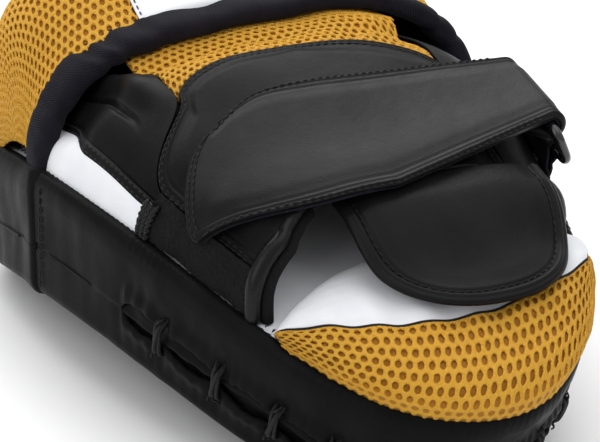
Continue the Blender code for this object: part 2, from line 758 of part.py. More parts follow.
def make_ring():
    """Rectangular ring of round plastic wire: its bars run along the strap's width."""
    frame = ring_frame()
    corner = RING_CORNER
    low = Vector((RING_LEAN, 0, -RING_DROP))
    down = low.normalized()
    points = []
    centres = [(RING_HALF_LENGTH - corner, corner), (RING_HALF_LENGTH - corner, low.length - corner),
               (corner - RING_HALF_LENGTH, low.length - corner), (corner - RING_HALF_LENGTH, corner)]
    for quarter, (y, d) in enumerate(centres):
        for t in steps(0, math.pi / 2, 4):
            turn = t + math.pi / 2 * (quarter - 1)
            local = down * (d + corner * math.sin(turn))
            local.y = y + corner * math.cos(turn)
            points.append(frame @ local)
    tube("ring", points, RING_WIRE, PLASTIC, cyclic=True)


def make_tab():
    """Tab sewn to the far side of the glove, folded over the ring's lower bar."""
    frame = ring_frame()
    radius = RING_WIRE + FOLD_CLEARANCE + TAB_THICKNESS
    rows = []
    for y in steps(-TAB_HALF_WIDTH, TAB_HALF_WIDTH, 5):
        bar = Vector((RING_LEAN, y, -RING_DROP))
        v = RING_V + y * math.cos(RING_SKEW)
        legs = [glove(a, v, -FOLD_CLEARANCE - TAB_THICKNESS - clearance)
                for a, clearance in ((167, 0.0016), (161, 0.0018))]
        inner = [glove(a, v, -0.0004) for a in (161, 167)]
        loop = [frame @ (bar + Vector((math.cos(t), 0, math.sin(t))) * radius)
                for t in steps(-0.35, math.pi + 0.35, 8)]
        rows.append(legs + loop + inner)
    sheet("ring_tab", rows, TAB_THICKNESS, WEBBING, flip=True)


# ---------------------------------------------------------------- wrist flap

def flap_height(u, v):
    """Height of the flap's outer face: from the strap down onto the cushion."""
    along = (FLAP_HINGE_V - v) / FLAP_LENGTH
    across = (u - FLAP_U) / FLAP_HALF_WIDTH
    hanging = FLAP_W - FLAP_DROP * smoothstep(along * 1.25) - FLAP_DROOP * across * across
    return max(hanging, cushion_height(u, v) + 2 * FLAP_SKIN + 4 * GAP)


def flap_rows(first, last, lift, count):
    """Rows of flap points from first to last along its length, narrowing to a round tip."""
    rows = []
    for along in steps(first, last, count):
        round_off = (1 - max(along, 0.0) ** 2.6) ** (1 / 2.6)
        v = FLAP_HINGE_V - FLAP_LENGTH * along
        half = FLAP_HALF_WIDTH * round_off
        rows.append([bend(u, v, flap_height(u, v) - lift)
                     for u in steps(FLAP_U - half, FLAP_U + half, 8)])
    return rows[::-1]


def make_flap():
    """Wrist flap of two leather layers, and the strip that joins it to the glove."""
    lining = FLAP_SKIN + GAP
    sheet("wrist_flap", flap_rows(0.006, 0.985, 0.0, 9), FLAP_SKIN, BLACK)
    sheet("wrist_flap_lining", flap_rows(0.006, 0.975, lining, 9), FLAP_SKIN, BLACK)
    sheet("wrist_flap_root", flap_rows(ROOT_START, -0.006, 0.0, 2), FLAP_SKIN * 2, BLACK)


def main():
    """Build the whole mitt."""
    clear_scene()
    make_pad()
    make_walls()
    make_ties()
    make_cushion()
    make_glove()
    make_mouth_piping()
    make_hood()
    make_strap()
    make_ring()
    make_tab()
    make_flap()


main()
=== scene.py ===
"""Visual model of a curved focus mitt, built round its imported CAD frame.

Soft pieces are laid out in the pad coordinates that the CAD uses (u across the pad, v
along its back, w up from its back) and wrapped onto the arched pad by bend().
"""
import math

import bmesh
import bpy
import numpy as np
from mathutils import Matrix, Vector
from mathutils.bvhtree import BVHTree


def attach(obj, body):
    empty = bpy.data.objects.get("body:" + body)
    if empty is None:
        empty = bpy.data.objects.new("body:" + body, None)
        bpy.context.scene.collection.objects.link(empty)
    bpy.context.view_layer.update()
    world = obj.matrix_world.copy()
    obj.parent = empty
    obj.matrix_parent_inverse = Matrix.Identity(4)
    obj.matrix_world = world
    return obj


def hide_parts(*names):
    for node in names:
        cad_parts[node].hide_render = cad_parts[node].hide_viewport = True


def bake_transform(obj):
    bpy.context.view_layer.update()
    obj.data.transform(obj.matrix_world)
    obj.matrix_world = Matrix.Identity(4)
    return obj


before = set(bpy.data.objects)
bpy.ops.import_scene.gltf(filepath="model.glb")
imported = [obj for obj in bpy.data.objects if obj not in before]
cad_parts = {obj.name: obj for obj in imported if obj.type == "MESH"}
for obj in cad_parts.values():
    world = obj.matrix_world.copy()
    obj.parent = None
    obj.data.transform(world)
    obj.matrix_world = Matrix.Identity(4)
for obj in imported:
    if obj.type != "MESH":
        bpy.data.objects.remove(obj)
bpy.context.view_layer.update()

# ------------------------------------------------------------------ CAD dimensions
# Metres, and degrees round each arch from its near edge where not turned into radians.
HALF_WIDTH, HALF_LENGTH, WIDEST_V = 0.094, 0.140, 0.068
FINGER_ROUNDNESS, WRIST_ROUNDNESS, WAIST = 2.74, 2.17, 0.28
THICKNESS, RADIUS, LAND_V = 0.046, 0.316, 0.131
APEX = RADIUS - (RADIUS - THICKNESS) * math.cos(LAND_V / RADIUS)
CENTRE_Y = 0.0016
SLOT_W = -0.0265
SLOT_NEAR, SLOT_FAR, SLOT_END = math.radians(205), math.radians(335), math.radians(7.3)
TIE_COUNT, TIE_REACH = 12, 0.0062
TIE_FIRST, TIE_LAST = SLOT_NEAR + SLOT_END, SLOT_FAR - SLOT_END
TIE_STEP = (TIE_LAST - TIE_FIRST) / (TIE_COUNT - 1)
WALL_SEAM_V = 0.038
MOUTH_V, MOUTH_SWEEP = -0.058, 0.012
FRONT_V, PATCH_V = 0.052, -0.028
CUFF_ANGLE, GUSSET_ANGLE = 57, 13
RING_U, RING_V, RING_W, RING_SKEW = 0.0725, -0.025, 0.0345, math.radians(9)
RING_DROP, RING_LEAN, RING_HALF, RING_WIRE = 0.013, 0.0068, 0.028, 0.002
FLAP_HINGE_V, FLAP_U, FLAP_HALF, FLAP_LENGTH = -0.0665, 0.017, 0.044, 0.042
GLOVE_INSET, GLOVE_INSET_GAIN, GLOVE_LOW, GLOVE_RISE = 0.0025, 0.0085, 0.033, 0.013
GLOVE_DIP, GLOVE_TUCK, GLOVE_SQUARENESS = 0.004, 0.0055, 2.6
HOOD_CENTRE, HOOD_HALF, HOOD_HEIGHT, HOOD_MOUTH_V, HOOD_LEAN = 69, 0.0935, 0.056, 0.037, 0.007
HOOD_CROWN, HOOD_SAG, HOOD_SAG_LENGTH, HOOD_SQUARENESS = 0.62, 0.0095, 0.055, 2.8
CUSHION_HALF, CUSHION_HEIGHT, CUSHION_BASE, CUSHION_OVERHANG = 0.0625, 0.0145, 0.0021, 0.003
CUSHION_SIDE, CUSHION_CROWN = 2.2, 2.6
STRAP_START, STRAP_SLANT, STRAP_STOP, STRAP_V = 31, 17, 88, -0.041
BINDING = 0.011

UP = np.array([0.0, 0.0, 1.0])
CORE = np.array([0.0, 0.0, APEX - 0.03])
GROUND_GAP = 0.0006                        # the walls stay this far off the floor

# stitching rows: distance of each from its panel's edge
HAND_BACK_ROWS = (0.0022, 0.0047)
STRAP_ROWS = (0.0024, 0.0046)
FLAP_ROW = 0.0036


# ------------------------------------------------------------------ small maths

def smooth(x):
    x = np.clip(x, 0.0, 1.0)
    return x * x * (3 - 2 * x)


def hump(x, centre, width):
    """1 at centre, falling smoothly to 0 at width either side."""
    return 1 - smooth(np.abs(x - centre) / width)


def power(x, exponent):
    return np.sign(x) * np.abs(x) ** exponent


def span(first, last, count):
    return np.linspace(first, last, count)


def unit(a):
    return a / np.maximum(np.linalg.norm(a, axis=-1, keepdims=True), 1e-12)


def lattice(down, along):
    """Two grids of values: one that changes down the rows, one that changes along them."""
    return np.meshgrid(down, along, indexing="ij")


def distance(path):
    """Distance along a line of points, from its start to each."""
    return np.concatenate([[0], np.cumsum(np.linalg.norm(np.diff(path, axis=0), axis=1))])


def sample(t, d, path):
    """Points at distances t along a line of points whose own distances are d."""
    return np.stack([np.interp(t, d, path[:, k]) for k in range(path.shape[1])], -1)


_rng = np.random.default_rng(11)
PERM = _rng.permutation(256)
GRAD = unit(_rng.normal(size=(256, 3)))


def noise(p, size, seed=0):
    """Smooth noise of about -0.5 to 0.5 with features of one size, at points in space."""
    q = np.asarray(p) / size + seed * 13.37
    cell = np.floor(q).astype(int)
    f = q - cell
    s = f * f * f * (f * (f * 6 - 15) + 10)
    total = np.zeros(q.shape[:-1])
    for corner in np.ndindex(2, 2, 2):
        c = np.array(corner)
        k = (cell + c) & 255
        h = PERM[(PERM[(PERM[k[..., 0]] + k[..., 1]) & 255] + k[..., 2]) & 255]
        weight = np.prod(np.where(c == 1, s, 1 - s), axis=-1)
        total += weight * np.sum(GRAD[h] * (f - c), axis=-1)
    return total


def bend(u, v, w):
    """Pad coordinates to the row frame."""
    u, v, w = np.broadcast_arrays(u, v, w)
    r = RADIUS + w
    z = APEX + r * np.cos(v / RADIUS) - RADIUS
    return np.stack([u, r * np.sin(v / RADIUS) - CENTRE_Y, z], -1)


def outline(angle, offset=0.0):
    angle, offset = np.broadcast_arrays(np.asarray(angle, float), offset)
    c, s = np.cos(angle), np.sin(angle)
    finger = s >= 0
    exponent = np.where(finger, FINGER_ROUNDNESS, WRIST_ROUNDNESS)
    reach = np.where(finger, HALF_LENGTH - WIDEST_V, HALF_LENGTH + WIDEST_V)
    y = np.abs(s) ** (2 / exponent)
    waist = np.where(finger, 1.0, 1 - WAIST * y * y * (1 - y))
    u = power(c, 2 / exponent) * waist * (HALF_WIDTH + offset)
    v = WIDEST_V + np.where(finger, 1, -1) * y * (reach + offset)
    return u, v


def half_width(v, offset=0.0):
    v, offset = np.broadcast_arrays(np.asarray(v, float), offset)
    finger = v >= WIDEST_V
    exponent = np.where(finger, FINGER_ROUNDNESS, WRIST_ROUNDNESS)
    reach = np.where(finger, HALF_LENGTH - WIDEST_V, HALF_LENGTH + WIDEST_V) + offset
    y = np.minimum(np.abs(v - WIDEST_V) / reach, 1.0)
    waist = np.where(finger, 1.0, 1 - WAIST * y * y * (1 - y))
    return (HALF_WIDTH + offset) * waist * (1 - y ** exponent) ** (1 / exponent)


def end_v(u, finger, offset=0.0):
    u = np.abs(np.asarray(u, float))
    low = np.full(u.shape, WIDEST_V) if finger else np.full(u.shape, -HALF_LENGTH) - offset
    high = low * 0 + (HALF_LENGTH + offset if finger else WIDEST_V)
    for _ in range(36):
        middle = (low + high) / 2
        inside = half_width(middle, offset) > u
        go = inside == finger
        low, high = np.where(go, middle, low), np.where(go, high, middle)
    return (low + high) / 2


def wall_angle(v):
    y = (WIDEST_V - v) / (HALF_LENGTH + WIDEST_V)
    return math.pi + math.asin(y ** (WRIST_ROUNDNESS / 2))


def near_side(across):
    """1 over the near half of an arch, falling to 0 at its near foot and past its middle."""
    return smooth(across / 18) * (1 - smooth((across - 70) / 45))


def glove(angle, v, depth=0.0):
    """Point on the glove's arch; the angle runs from 0 at the near edge to 180."""
    angle, v, depth = np.broadcast_arrays(np.asarray(angle, float), v, depth)
    inset = GLOVE_INSET + GLOVE_INSET_GAIN * smooth((v - 0.012) / 0.026)
    base = half_width(v) - inset - depth
    height = GLOVE_LOW + GLOVE_RISE * smooth((v + 0.045) / 0.070) - depth
    height = height - GLOVE_DIP * np.maximum(0.0, (v - 0.020) / 0.030) ** 2
    height = height - GLOVE_TUCK * near_side(angle) * smooth((v - 0.014) / 0.026)
    c, s = np.cos(np.radians(angle)), np.sin(np.radians(angle))
    e = 2 / GLOVE_SQUARENESS
    return bend(-power(c, e) * base, v, 0.0004 + height * np.maximum(s, 0.0) ** e)


def mouth_v(angle):
    angle = np.asarray(angle, float)
    near = MOUTH_V - 2 * MOUTH_SWEEP + MOUTH_SWEEP * np.minimum(angle / 50, 1.0)
    near = near + MOUTH_SWEEP * smooth((angle - 42) / 28)
    return np.where(angle < 90, near, MOUTH_V - 0.004 * smooth((angle - 120) / 60))


def cuff_angle(v):
    return CUFF_ANGLE - 33 * smooth((0.005 - v) / 0.035)


def knuckle_v(angle):
    across = np.clip((angle - CUFF_ANGLE) / (180 - 2 * CUFF_ANGLE), 0, 1)
    return 0.004 + 0.016 * np.maximum(np.sin(math.pi * across), 0.0) ** 0.7


def cushion_edges(u, far=0.0):
    """The cushion's edge at the hand, cover seam and edge at the rim; far is 1 where it is fuller."""
    across = (u / CUSHION_HALF) ** 2
    inner = -0.064 - 0.026 * across * (1 - 0.72 * far)
    return inner, -0.107 + 0.017 * across, end_v(u, False, CUSHION_OVERHANG)


def cushion_shape(u, v, far=0.0):
    """The cushion's height, how far v is across it from 0 to 1, and the share of height left at u."""
    inner, _, outer = cushion_edges(u, far)
    part = np.clip((v - inner) / (outer - inner), 0.0, 1.0)
    squareness = CUSHION_SIDE + 2.2 * far
    side = np.minimum(np.abs(u) / (CUSHION_HALF + 0.0039 * far), 1.0)
    share = (1 - side ** squareness) ** (1 / squareness)
    crown = np.maximum(1 - np.abs(2 * part - 1) ** CUSHION_CROWN, 0.0) ** (1 / CUSHION_CROWN)
    return (CUSHION_HEIGHT + 0.0035 * far) * share * crown + CUSHION_BASE, part, share


def hood_sag(across, v):
    """How far the near half of the hood's mouth sags."""
    return HOOD_SAG * near_side(across) * np.maximum(1 - (v - HOOD_MOUTH_V) / HOOD_SAG_LENGTH, 0.0) ** 2


def hood(across, over, depth=0.0, mouth=0.0):
    """Point on the hood: across 0 to 180 from near to far, over 0 to 90 from mouth to rim."""
    across, over, depth, mouth = np.broadcast_arrays(np.asarray(across, float), over, depth, mouth)
    c, s = np.cos(np.radians(across)), np.sin(np.radians(across))
    e = 2 / HOOD_SQUARENESS
    u = -power(c, e) * (HOOD_HALF - depth)
    height = (HOOD_HEIGHT - depth) * np.maximum(s, 0.0) ** e
    start = HOOD_MOUTH_V + HOOD_LEAN * s + mouth
    finish = end_v(np.minimum(np.abs(u), HOOD_HALF - depth), True, -depth - 0.0005)
    t = np.radians(over)
    v = start + (finish - start) * np.sin(t) ** 0.95
    height = height * (1 + HOOD_CROWN * np.sin(2 * t) * np.cos(t) ** 2)
    return bend(u, v, 0.0006 + height * np.maximum(np.cos(t), 0.0) ** 0.7 - hood_sag(across, v))


def ring_frame():
    """Origin at the ring's strap bar, and the directions out from the hand, along it and up."""
    here = bend(RING_U, RING_V, RING_W)
    ahead = bend(RING_U + 0.01 * math.sin(RING_SKEW), RING_V + 0.01 * math.cos(RING_SKEW), RING_W)
    y = unit(ahead - here)
    up = unit(bend(RING_U, RING_V, RING_W + 0.01) - here)
    x = unit(np.cross(y, up))
    return here, x, y, np.cross(x, y)


def in_ring(x, y, z):
    here, ex, ey, ez = ring_frame()
    x, y, z = np.broadcast_arrays(x, y, z)
    return here + x[..., None] * ex + y[..., None] * ey + z[..., None] * ez


# ------------------------------------------------------------------ surfaces

def normals(p, inside=CORE):
    """Unit normals of a grid of points, facing away from a point inside the object."""
    a = np.gradient(p, axis=0)
    b = np.gradient(p, axis=1)
    n = unit(np.cross(a, b))
    if np.sum(n * (p - inside)) < 0:
        n = -n
    return n


def push(p, d, inside=CORE):
    """Move a grid of points along its normals."""
    return p + normals(p, inside) * np.asarray(d)[..., None]


def arc(p, axis):
    """Distance along one axis of a grid of points."""
    step = np.linalg.norm(np.diff(p, axis=axis), axis=-1)
    total = np.cumsum(step, axis=axis)
    pad = np.zeros_like(np.take(total, [0], axis=axis))
    return np.concatenate([pad, total], axis=axis)


def finish_mesh(mesh, material):
    mesh.materials.append(material)
    mesh.shade_smooth()
    mesh.update()


def add(name, mesh, body, nodes=()):
    """Make a piece of a mesh: it rides on a body and may stand for CAD nodes."""
    item = bpy.data.objects.new(name, mesh)
    bpy.context.scene.collection.objects.link(item)
    if body:
        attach(item, body)
    if nodes:
        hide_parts(*nodes)
    return item


def mend(mesh, weld=0.0, outward=False):
    """Weld a mesh's near points, turn its faces outwards, or both."""
    bm = bmesh.new()
    bm.from_mesh(mesh)
    if weld:
        bmesh.ops.remove_doubles(bm, verts=bm.verts, dist=weld)
        bmesh.ops.dissolve_degenerate(bm, edges=bm.edges, dist=weld / 2)
    if outward:
        bmesh.ops.recalc_face_normals(bm, faces=bm.faces)
    bm.to_mesh(mesh)
    bm.free()


def mesh_from(name, points, faces, material, uv=None, weld=0.0):
    mesh = bpy.data.meshes.new(name)
    mesh.from_pydata([tuple(q) for q in points], [], [tuple(f) for f in faces])
    if uv is not None:
        layer = mesh.uv_layers.new(name="metres")
        index = np.zeros(len(mesh.loops), int)
        mesh.loops.foreach_get("vertex_index", index)
        layer.data.foreach_set("uv", np.asarray(uv)[index].ravel())
    if weld:
        mend(mesh, weld)
    finish_mesh(mesh, material)
    return mesh


def grid(name, p, material, body, nodes=(), thick=0.0011, inside=CORE,
         wrap=False, skip=(), weld=0.0, uv=None):
    """Piece made of a grid of points, given thickness on its inner side."""
    rows, columns = p.shape[:2]
    n = normals(p, inside)
    a = np.gradient(p, axis=0)
    b = np.gradient(p, axis=1)
    flip = np.sum(np.cross(b, a) * n) < 0
    index = np.arange(rows * columns).reshape(rows, columns)
    right = np.roll(index, -1, axis=1) if wrap else index[:, 1:]
    cut = columns if wrap else columns - 1
    q = np.stack([index[:-1, :cut], right[:-1, :cut], right[1:, :cut], index[1:, :cut]], -1)
    keep = np.ones(cut, bool)
    keep[list(skip)] = False
    q = q[:, keep].reshape(-1, 4)
    if flip:
        q = q[:, ::-1]
    if uv is None:
        uv = np.stack([arc(p, 1), arc(p, 0)], -1)
    mesh = mesh_from(name, p.reshape(-1, 3), q, material, uv.reshape(-1, 2), weld)
    item = add(name, mesh, body, nodes)
    if thick:
        solid = item.modifiers.new("thickness", "SOLIDIFY")
        solid.thickness = thick
        solid.offset = -1
    return item


def resample(path, step):
    """Points about one step apart along a line of points, with the whole number of steps."""
    d = distance(path)
    count = max(2, int(round(d[-1] / step)) + 1)
    return sample(np.linspace(0, d[-1], count), d, path)


def tube_mesh(name, path, radius, material, sides=12, up=None, flat=1.0, closed=False):
    """Tube along a line of points; radius may vary, and flat squashes it along up."""
    path = np.asarray(path)
    if closed:
        tangent = unit(np.roll(path, -1, 0) - np.roll(path, 1, 0))
    else:
        tangent = unit(np.gradient(path, axis=0))
    guide = UP if up is None else up
    side = unit(np.cross(tangent, np.broadcast_to(guide, tangent.shape)))
    lift = np.cross(side, tangent)
    r = np.broadcast_to(radius, (len(path),))[:, None, None]
    t = span(0, 2 * math.pi, sides + 1)[:-1]
    c, s = np.cos(t)[None, :, None], np.sin(t)[None, :, None]
    ring = side[:, None] * c + lift[:, None] * s * flat
    p = path[:, None] + ring * r
    n = len(path)
    index = np.arange(n * sides).reshape(n, sides)
    after = np.roll(index, -1, axis=0) if closed else index[1:]
    here = index if closed else index[:-1]
    q = np.stack([here, np.roll(here, -1, 1), np.roll(after, -1, 1), after], -1).reshape(-1, 4)
    faces = [tuple(f) for f in q[:, ::-1]]
    if not closed:
        faces += [tuple(index[0]), tuple(index[-1][::-1])]
    d = arc(path[:, None], 0)[:, 0]
    uv = np.stack(np.broadcast_arrays((t * np.mean(r))[None], d[:, None]), -1)
    mesh = mesh_from(name, p.reshape(-1, 3), faces, material, uv.reshape(-1, 2))
    mend(mesh, outward=True)
    return mesh


def sew(name, lines, body="mitt", pitch=0.0031, length=0.0025, radius=0.00030):
    """Piece of sewn stitches along lines; each line is points and the surface's normals there."""
    points, faces = [], []
    sides, rings = 6, 5
    for path, normal in lines:
        both = resample(np.concatenate([path, normal], 1), 0.0004)
        path, normal = both[:, :3], unit(both[:, 3:])
        d = distance(path)
        for k, start in enumerate(np.arange(pitch * 0.3, d[-1] - length, pitch)):
            t = np.linspace(start, start + length, rings)
            c = sample(t, d, path)
            n = unit(sample(t, d, normal))
            along = unit(c[-1] - c[0])
            side = unit(np.cross(along, n))
            bow = np.sin(np.linspace(0, math.pi, rings))
            wiggle = noise(c[:1], 0.0007, k % 5)[0] * radius * 0.8
            c = c + n * ((bow * 1.5 - 0.9) * radius)[:, None]
            c = c + side * wiggle
            size = radius * (0.55 + 0.45 * bow)
            first = len(points)
            for i in range(rings):
                for j in range(sides):
                    a = 2 * math.pi * j / sides
                    points.append(c[i] + (side[i] * math.cos(a) + n[i] * math.sin(a)) * size[i])
            for i in range(rings - 1):
                for j in range(sides):
                    a, b = first + i * sides + j, first + i * sides + (j + 1) % sides
                    faces.append((a, a + sides, b + sides, b))
            faces.append(tuple(first + j for j in range(sides)))
            faces.append(tuple(first + (rings - 1) * sides + j for j in range(sides - 1, -1, -1)))
    return add(name, mesh_from(name, points, faces, THREAD), body)


class Chart:
    """Lengthwise map of a grid of points: x runs along each row in metres, y across the rows."""

    def __init__(self, p, step=0.0005, inside=CORE):
        n = normals(p, inside)
        along = arc(p, 1)
        self.length = along[:, -1]
        self.wide = float(self.length.max())
        self.y = np.mean(arc(p, 0), axis=1)
        self.high = float(self.y[-1])
        self.step = step
        x = np.arange(0, self.wide + step, step)
        both = np.concatenate([p, n], -1)
        self.table = np.stack([
            np.stack([np.interp(x, along[i], both[i, :, k]) for k in range(6)], -1)
            for i in range(len(p))])

    def at(self, x, y):
        """Points, normals and whether each lies inside the rows' ends."""
        x, y = np.broadcast_arrays(x, y)
        row = np.interp(y, self.y, np.arange(len(self.y)))
        i = np.clip(np.floor(row).astype(int), 0, len(self.y) - 2)
        f = (row - i)[..., None]
        column = np.clip(x / self.step, 0, self.table.shape[1] - 1.001)
        j = np.floor(column).astype(int)
        g = (column - j)[..., None]
        t = self.table
        value = ((t[i, j] * (1 - g) + t[i, j + 1] * g) * (1 - f)
                 + (t[i + 1, j] * (1 - g) + t[i + 1, j + 1] * g) * f)
        inside = (x >= 0) & (y >= 0) & (y <= self.high)
        inside &= x <= (self.length[i] * (1 - f[..., 0]) + self.length[i + 1] * f[..., 0])
        return value[..., :3], unit(value[..., 3:]), inside


def net(name, chart, material, body, nodes=(), pitch=0.0037, lift=0.0):
    """Spacer mesh's face fabric: rounded ribs round oval holes, laid on a chart."""
    row = pitch * 0.88
    sides = 12
    angle = span(0, 2 * math.pi, sides + 1)[:-1] + math.pi / 2
    reach = pitch / 2 / np.cos(np.mod(angle + math.pi / 6, math.pi / 3) - math.pi / 6)
    hexagon = np.stack([np.cos(angle), np.sin(angle) * 0.88 / 0.866], -1) * reach[:, None]
    profile = ((0.300, -0.0007), (0.315, -0.0003), (0.345, 0.00004), (0.40, 0.00014))
    points, faces = [], []
    height = []
    for j in range(-1, int(chart.high / row) + 2):
        for i in range(-1, int(chart.wide / pitch) + 2):
            centre = np.array([(i + (j % 2) / 2) * pitch, j * row])
            jitter = noise(np.array([[centre[0], centre[1], 0.0]]), 0.002, 3)[0]
            first = len(points)
            for scale, low in profile:
                ring = np.stack([np.cos(angle), np.sin(angle) * 1.04], -1)
                ring = centre + ring * pitch * (scale + 0.03 * jitter)
                points.extend(ring)
                height.extend([low] * sides)
            points.extend(centre + hexagon)
            height.extend([0.00006] * sides)
            for k in range(len(profile)):
                for m in range(sides):
                    a, b = first + k * sides + m, first + k * sides + (m + 1) % sides
                    faces.append((a, b, b + sides, a + sides))
    points = np.array(points)
    height = np.array(height)
    p, n, inside = chart.at(points[:, 0], points[:, 1])
    faces = np.array(faces)
    faces = faces[np.all(inside[faces], axis=1)]
    p = p + n * (height + lift)[:, None]
    used = np.unique(faces)
    renumber = np.zeros(len(p), int)
    renumber[used] = np.arange(len(used))
    probe = faces[len(faces) // 2]
    way = np.cross(p[probe[1]] - p[probe[0]], p[probe[3]] - p[probe[0]])
    if np.dot(way, n[probe[0]]) < 0:
        faces = faces[:, ::-1]
    mesh = mesh_from(name, p[used], renumber[faces], material, points[used], weld=0.00004)
    item = add(name, mesh, body, nodes)
    solid = item.modifiers.new("thickness", "SOLIDIFY")
    solid.thickness = 0.0004
    solid.offset = -1
    return item


# ------------------------------------------------------------------ materials

class Shader:
    """Short names for building a node material."""

    def __init__(self, name, coordinates="Object"):
        self.material = bpy.data.materials.new(name)
        self.material.use_nodes = True
        self.tree = self.material.node_tree
        self.bsdf = self.tree.nodes["Principled BSDF"]
        self.place = self.tree.nodes.new("ShaderNodeTexCoord").outputs[coordinates]

    def put(self, socket, value):
        """Link a socket to another node's output, or set its value."""
        if isinstance(value, bpy.types.NodeSocket):
            self.tree.links.new(value, socket)
        else:
            socket.default_value = value

    def node(self, kind, values=(), **inputs):
        item = self.tree.nodes.new(kind)
        for key, value in dict(values).items():
            setattr(item, key, value)
        for key, value in inputs.items():
            self.put(item.inputs[key.replace("_", " ")], value)
        return item

    def noise(self, scale, detail=3.0, roughness=0.55):
        return self.node("ShaderNodeTexNoise", Vector=self.place, Scale=scale, Detail=detail,
                         Roughness=roughness).outputs["Fac"]

    def cells(self, scale, feature="DISTANCE_TO_EDGE"):
        return self.node("ShaderNodeTexVoronoi", {"feature": feature}, Vector=self.place,
                         Scale=scale).outputs["Distance"]

    def wave(self, scale, axis="X", distortion=0.0, vector=None):
        return self.node("ShaderNodeTexWave", {"bands_direction": axis}, Vector=vector or self.place,
                         Scale=scale, Distortion=distortion).outputs["Fac"]

    def turn(self, degrees):
        item = self.node("ShaderNodeMapping", Vector=self.place)
        item.inputs["Rotation"].default_value = (0, 0, math.radians(degrees))
        return item.outputs["Vector"]

    def maths(self, operation, a, b=0.0):
        item = self.node("ShaderNodeMath", {"operation": operation})
        for socket, value in zip(item.inputs, (a, b)):
            self.put(socket, value)
        return item.outputs[0]

    def ramp(self, factor, *stops):
        item = self.node("ShaderNodeValToRGB", Fac=factor)
        elements = item.color_ramp.elements
        while len(elements) < len(stops):
            elements.new(0.5)
        for element, (position, colour) in zip(elements, stops):
            element.position = position
            if not isinstance(colour, (tuple, list)):
                colour = (colour,) * 3
            element.color = (*colour, 1.0)
        return item.outputs["Color"]

    def blend(self, factor, a, b):
        item = self.node("ShaderNodeMix", {"data_type": "RGBA"})
        for key, value in ((0, factor), (6, a), (7, b)):
            self.put(item.inputs[key], (*value, 1.0) if isinstance(value, tuple) else value)
        return item.outputs[2]

    def bump(self, height, distance, strength=1.0, normal=None):
        item = self.node("ShaderNodeBump", Height=height, Distance=distance, Strength=strength)
        if normal is not None:
            self.tree.links.new(normal, item.inputs["Normal"])
        return item.outputs["Normal"]

    def done(self, colour, roughness, normal=None, **fixed):
        for key, value in (("Base Color", colour), ("Roughness", roughness), ("Normal", normal)):
            if value is not None:
                self.put(self.bsdf.inputs[key], value)
        for key, value in fixed.items():
            self.bsdf.inputs[key.replace("_", " ")].default_value = value
        return self.material


def leather(name, low, high, rough, coordinates="Object", grain=1.0, specular=0.5):
    """Coated leather: fine pebbled grain, drifting tone and gloss, and faint creases."""
    s = Shader(name, coordinates)
    tone = s.noise(55, 4)
    colour = s.ramp(tone, (0.30, low), (0.72, high))
    fine = s.cells(1050)
    pores = s.noise(2600, 2)
    broad = s.noise(240, 4, 0.6)
    height = s.maths("MULTIPLY", s.maths("MINIMUM", fine, 0.32), 1.6)
    height = s.maths("ADD", height, s.maths("MULTIPLY", pores, 0.30))
    normal = s.bump(height, 0.00010 * grain, 0.55)
    normal = s.bump(broad, 0.0005, 0.22, normal)
    gloss = s.ramp(s.noise(130, 4, 0.65), (0.25, rough[0]), (0.75, rough[1]))
    return s.done(colour, gloss, normal, Specular_IOR_Level=specular)


def fuzzy(name, low, high, scale, depth, roughness=0.95):
    """Napped or knitted cloth with short fibres."""
    s = Shader(name)
    fibres = s.noise(scale, 4, 0.75)
    tufts = s.cells(scale * 0.55, "F1")
    drift = s.maths("MULTIPLY", s.noise(90, 3), 0.35)
    colour = s.ramp(s.maths("ADD", s.maths("MULTIPLY", fibres, 0.7), drift), (0.32, low), (0.74, high))
    height = s.maths("ADD", fibres, s.maths("MULTIPLY", tufts, 0.6))
    return s.done(colour, roughness, s.bump(height, depth, 0.9), Specular_IOR_Level=0.2)


def twill(name):
    """Woven binding tape: steep diagonal ribs crossed by fine threads."""
    s = Shader(name, "UV")
    ribs = s.wave(560, "X", 0.6, s.turn(48))
    threads = s.wave(620, "X", 0.8, s.turn(-44))
    weave = s.maths("ADD", s.maths("MULTIPLY", ribs, 0.7), s.maths("MULTIPLY", threads, 0.3))
    drift = s.noise(160, 4)
    colour = s.ramp(s.maths("MULTIPLY", weave, s.maths("ADD", drift, 0.55)),
                    (0.12, (0.0016, 0.0015, 0.0024)), (0.55, (0.0062, 0.0056, 0.0092)),
                    (0.95, (0.022, 0.020, 0.031)))
    normal = s.bump(weave, 0.00025, 0.7)
    normal = s.bump(s.noise(1800, 2), 0.00012, 0.5, normal)
    return s.done(colour, 0.85, normal, Sheen_Weight=0.03, Sheen_Roughness=0.4, Specular_IOR_Level=0.12)


def knit(name, dark, middle, bright):
    """Looped polyester yarn of the spacer mesh's face."""
    s = Shader(name, "UV")
    loops = s.wave(880, "X", 4.0, s.turn(38))
    cross = s.wave(880, "X", 4.0, s.turn(-38))
    yarn = s.maths("MAXIMUM", loops, cross)
    fleck = s.noise(1400, 3, 0.7)
    fac = s.maths("ADD", s.maths("MULTIPLY", yarn, 0.62), s.maths("MULTIPLY", fleck, 0.45))
    colour = s.ramp(fac, (0.34, dark), (0.60, middle), (0.84, bright))
    colour = s.blend(s.ramp(s.noise(30, 3), (0.35, 0.0), (0.75, 0.25)), colour, middle)
    return s.done(colour, 0.62, s.bump(fac, 0.00045, 1.0), Sheen_Weight=0.04, Sheen_Roughness=0.35,
                  Specular_IOR_Level=0.15)


def thread_material(name, low, high, scale=2400):
    """Twisted thread or cord."""
    s = Shader(name)
    twist = s.wave(scale, "DIAGONAL", 1.5)
    fibres = s.maths("MULTIPLY", s.noise(900), 0.4)
    colour = s.ramp(s.maths("ADD", s.maths("MULTIPLY", twist, 0.6), fibres), (0.2, low), (0.9, high))
    return s.done(colour, 0.55, s.bump(twist, 0.0001, 0.8), Specular_IOR_Level=0.18, Sheen_Weight=0.02)


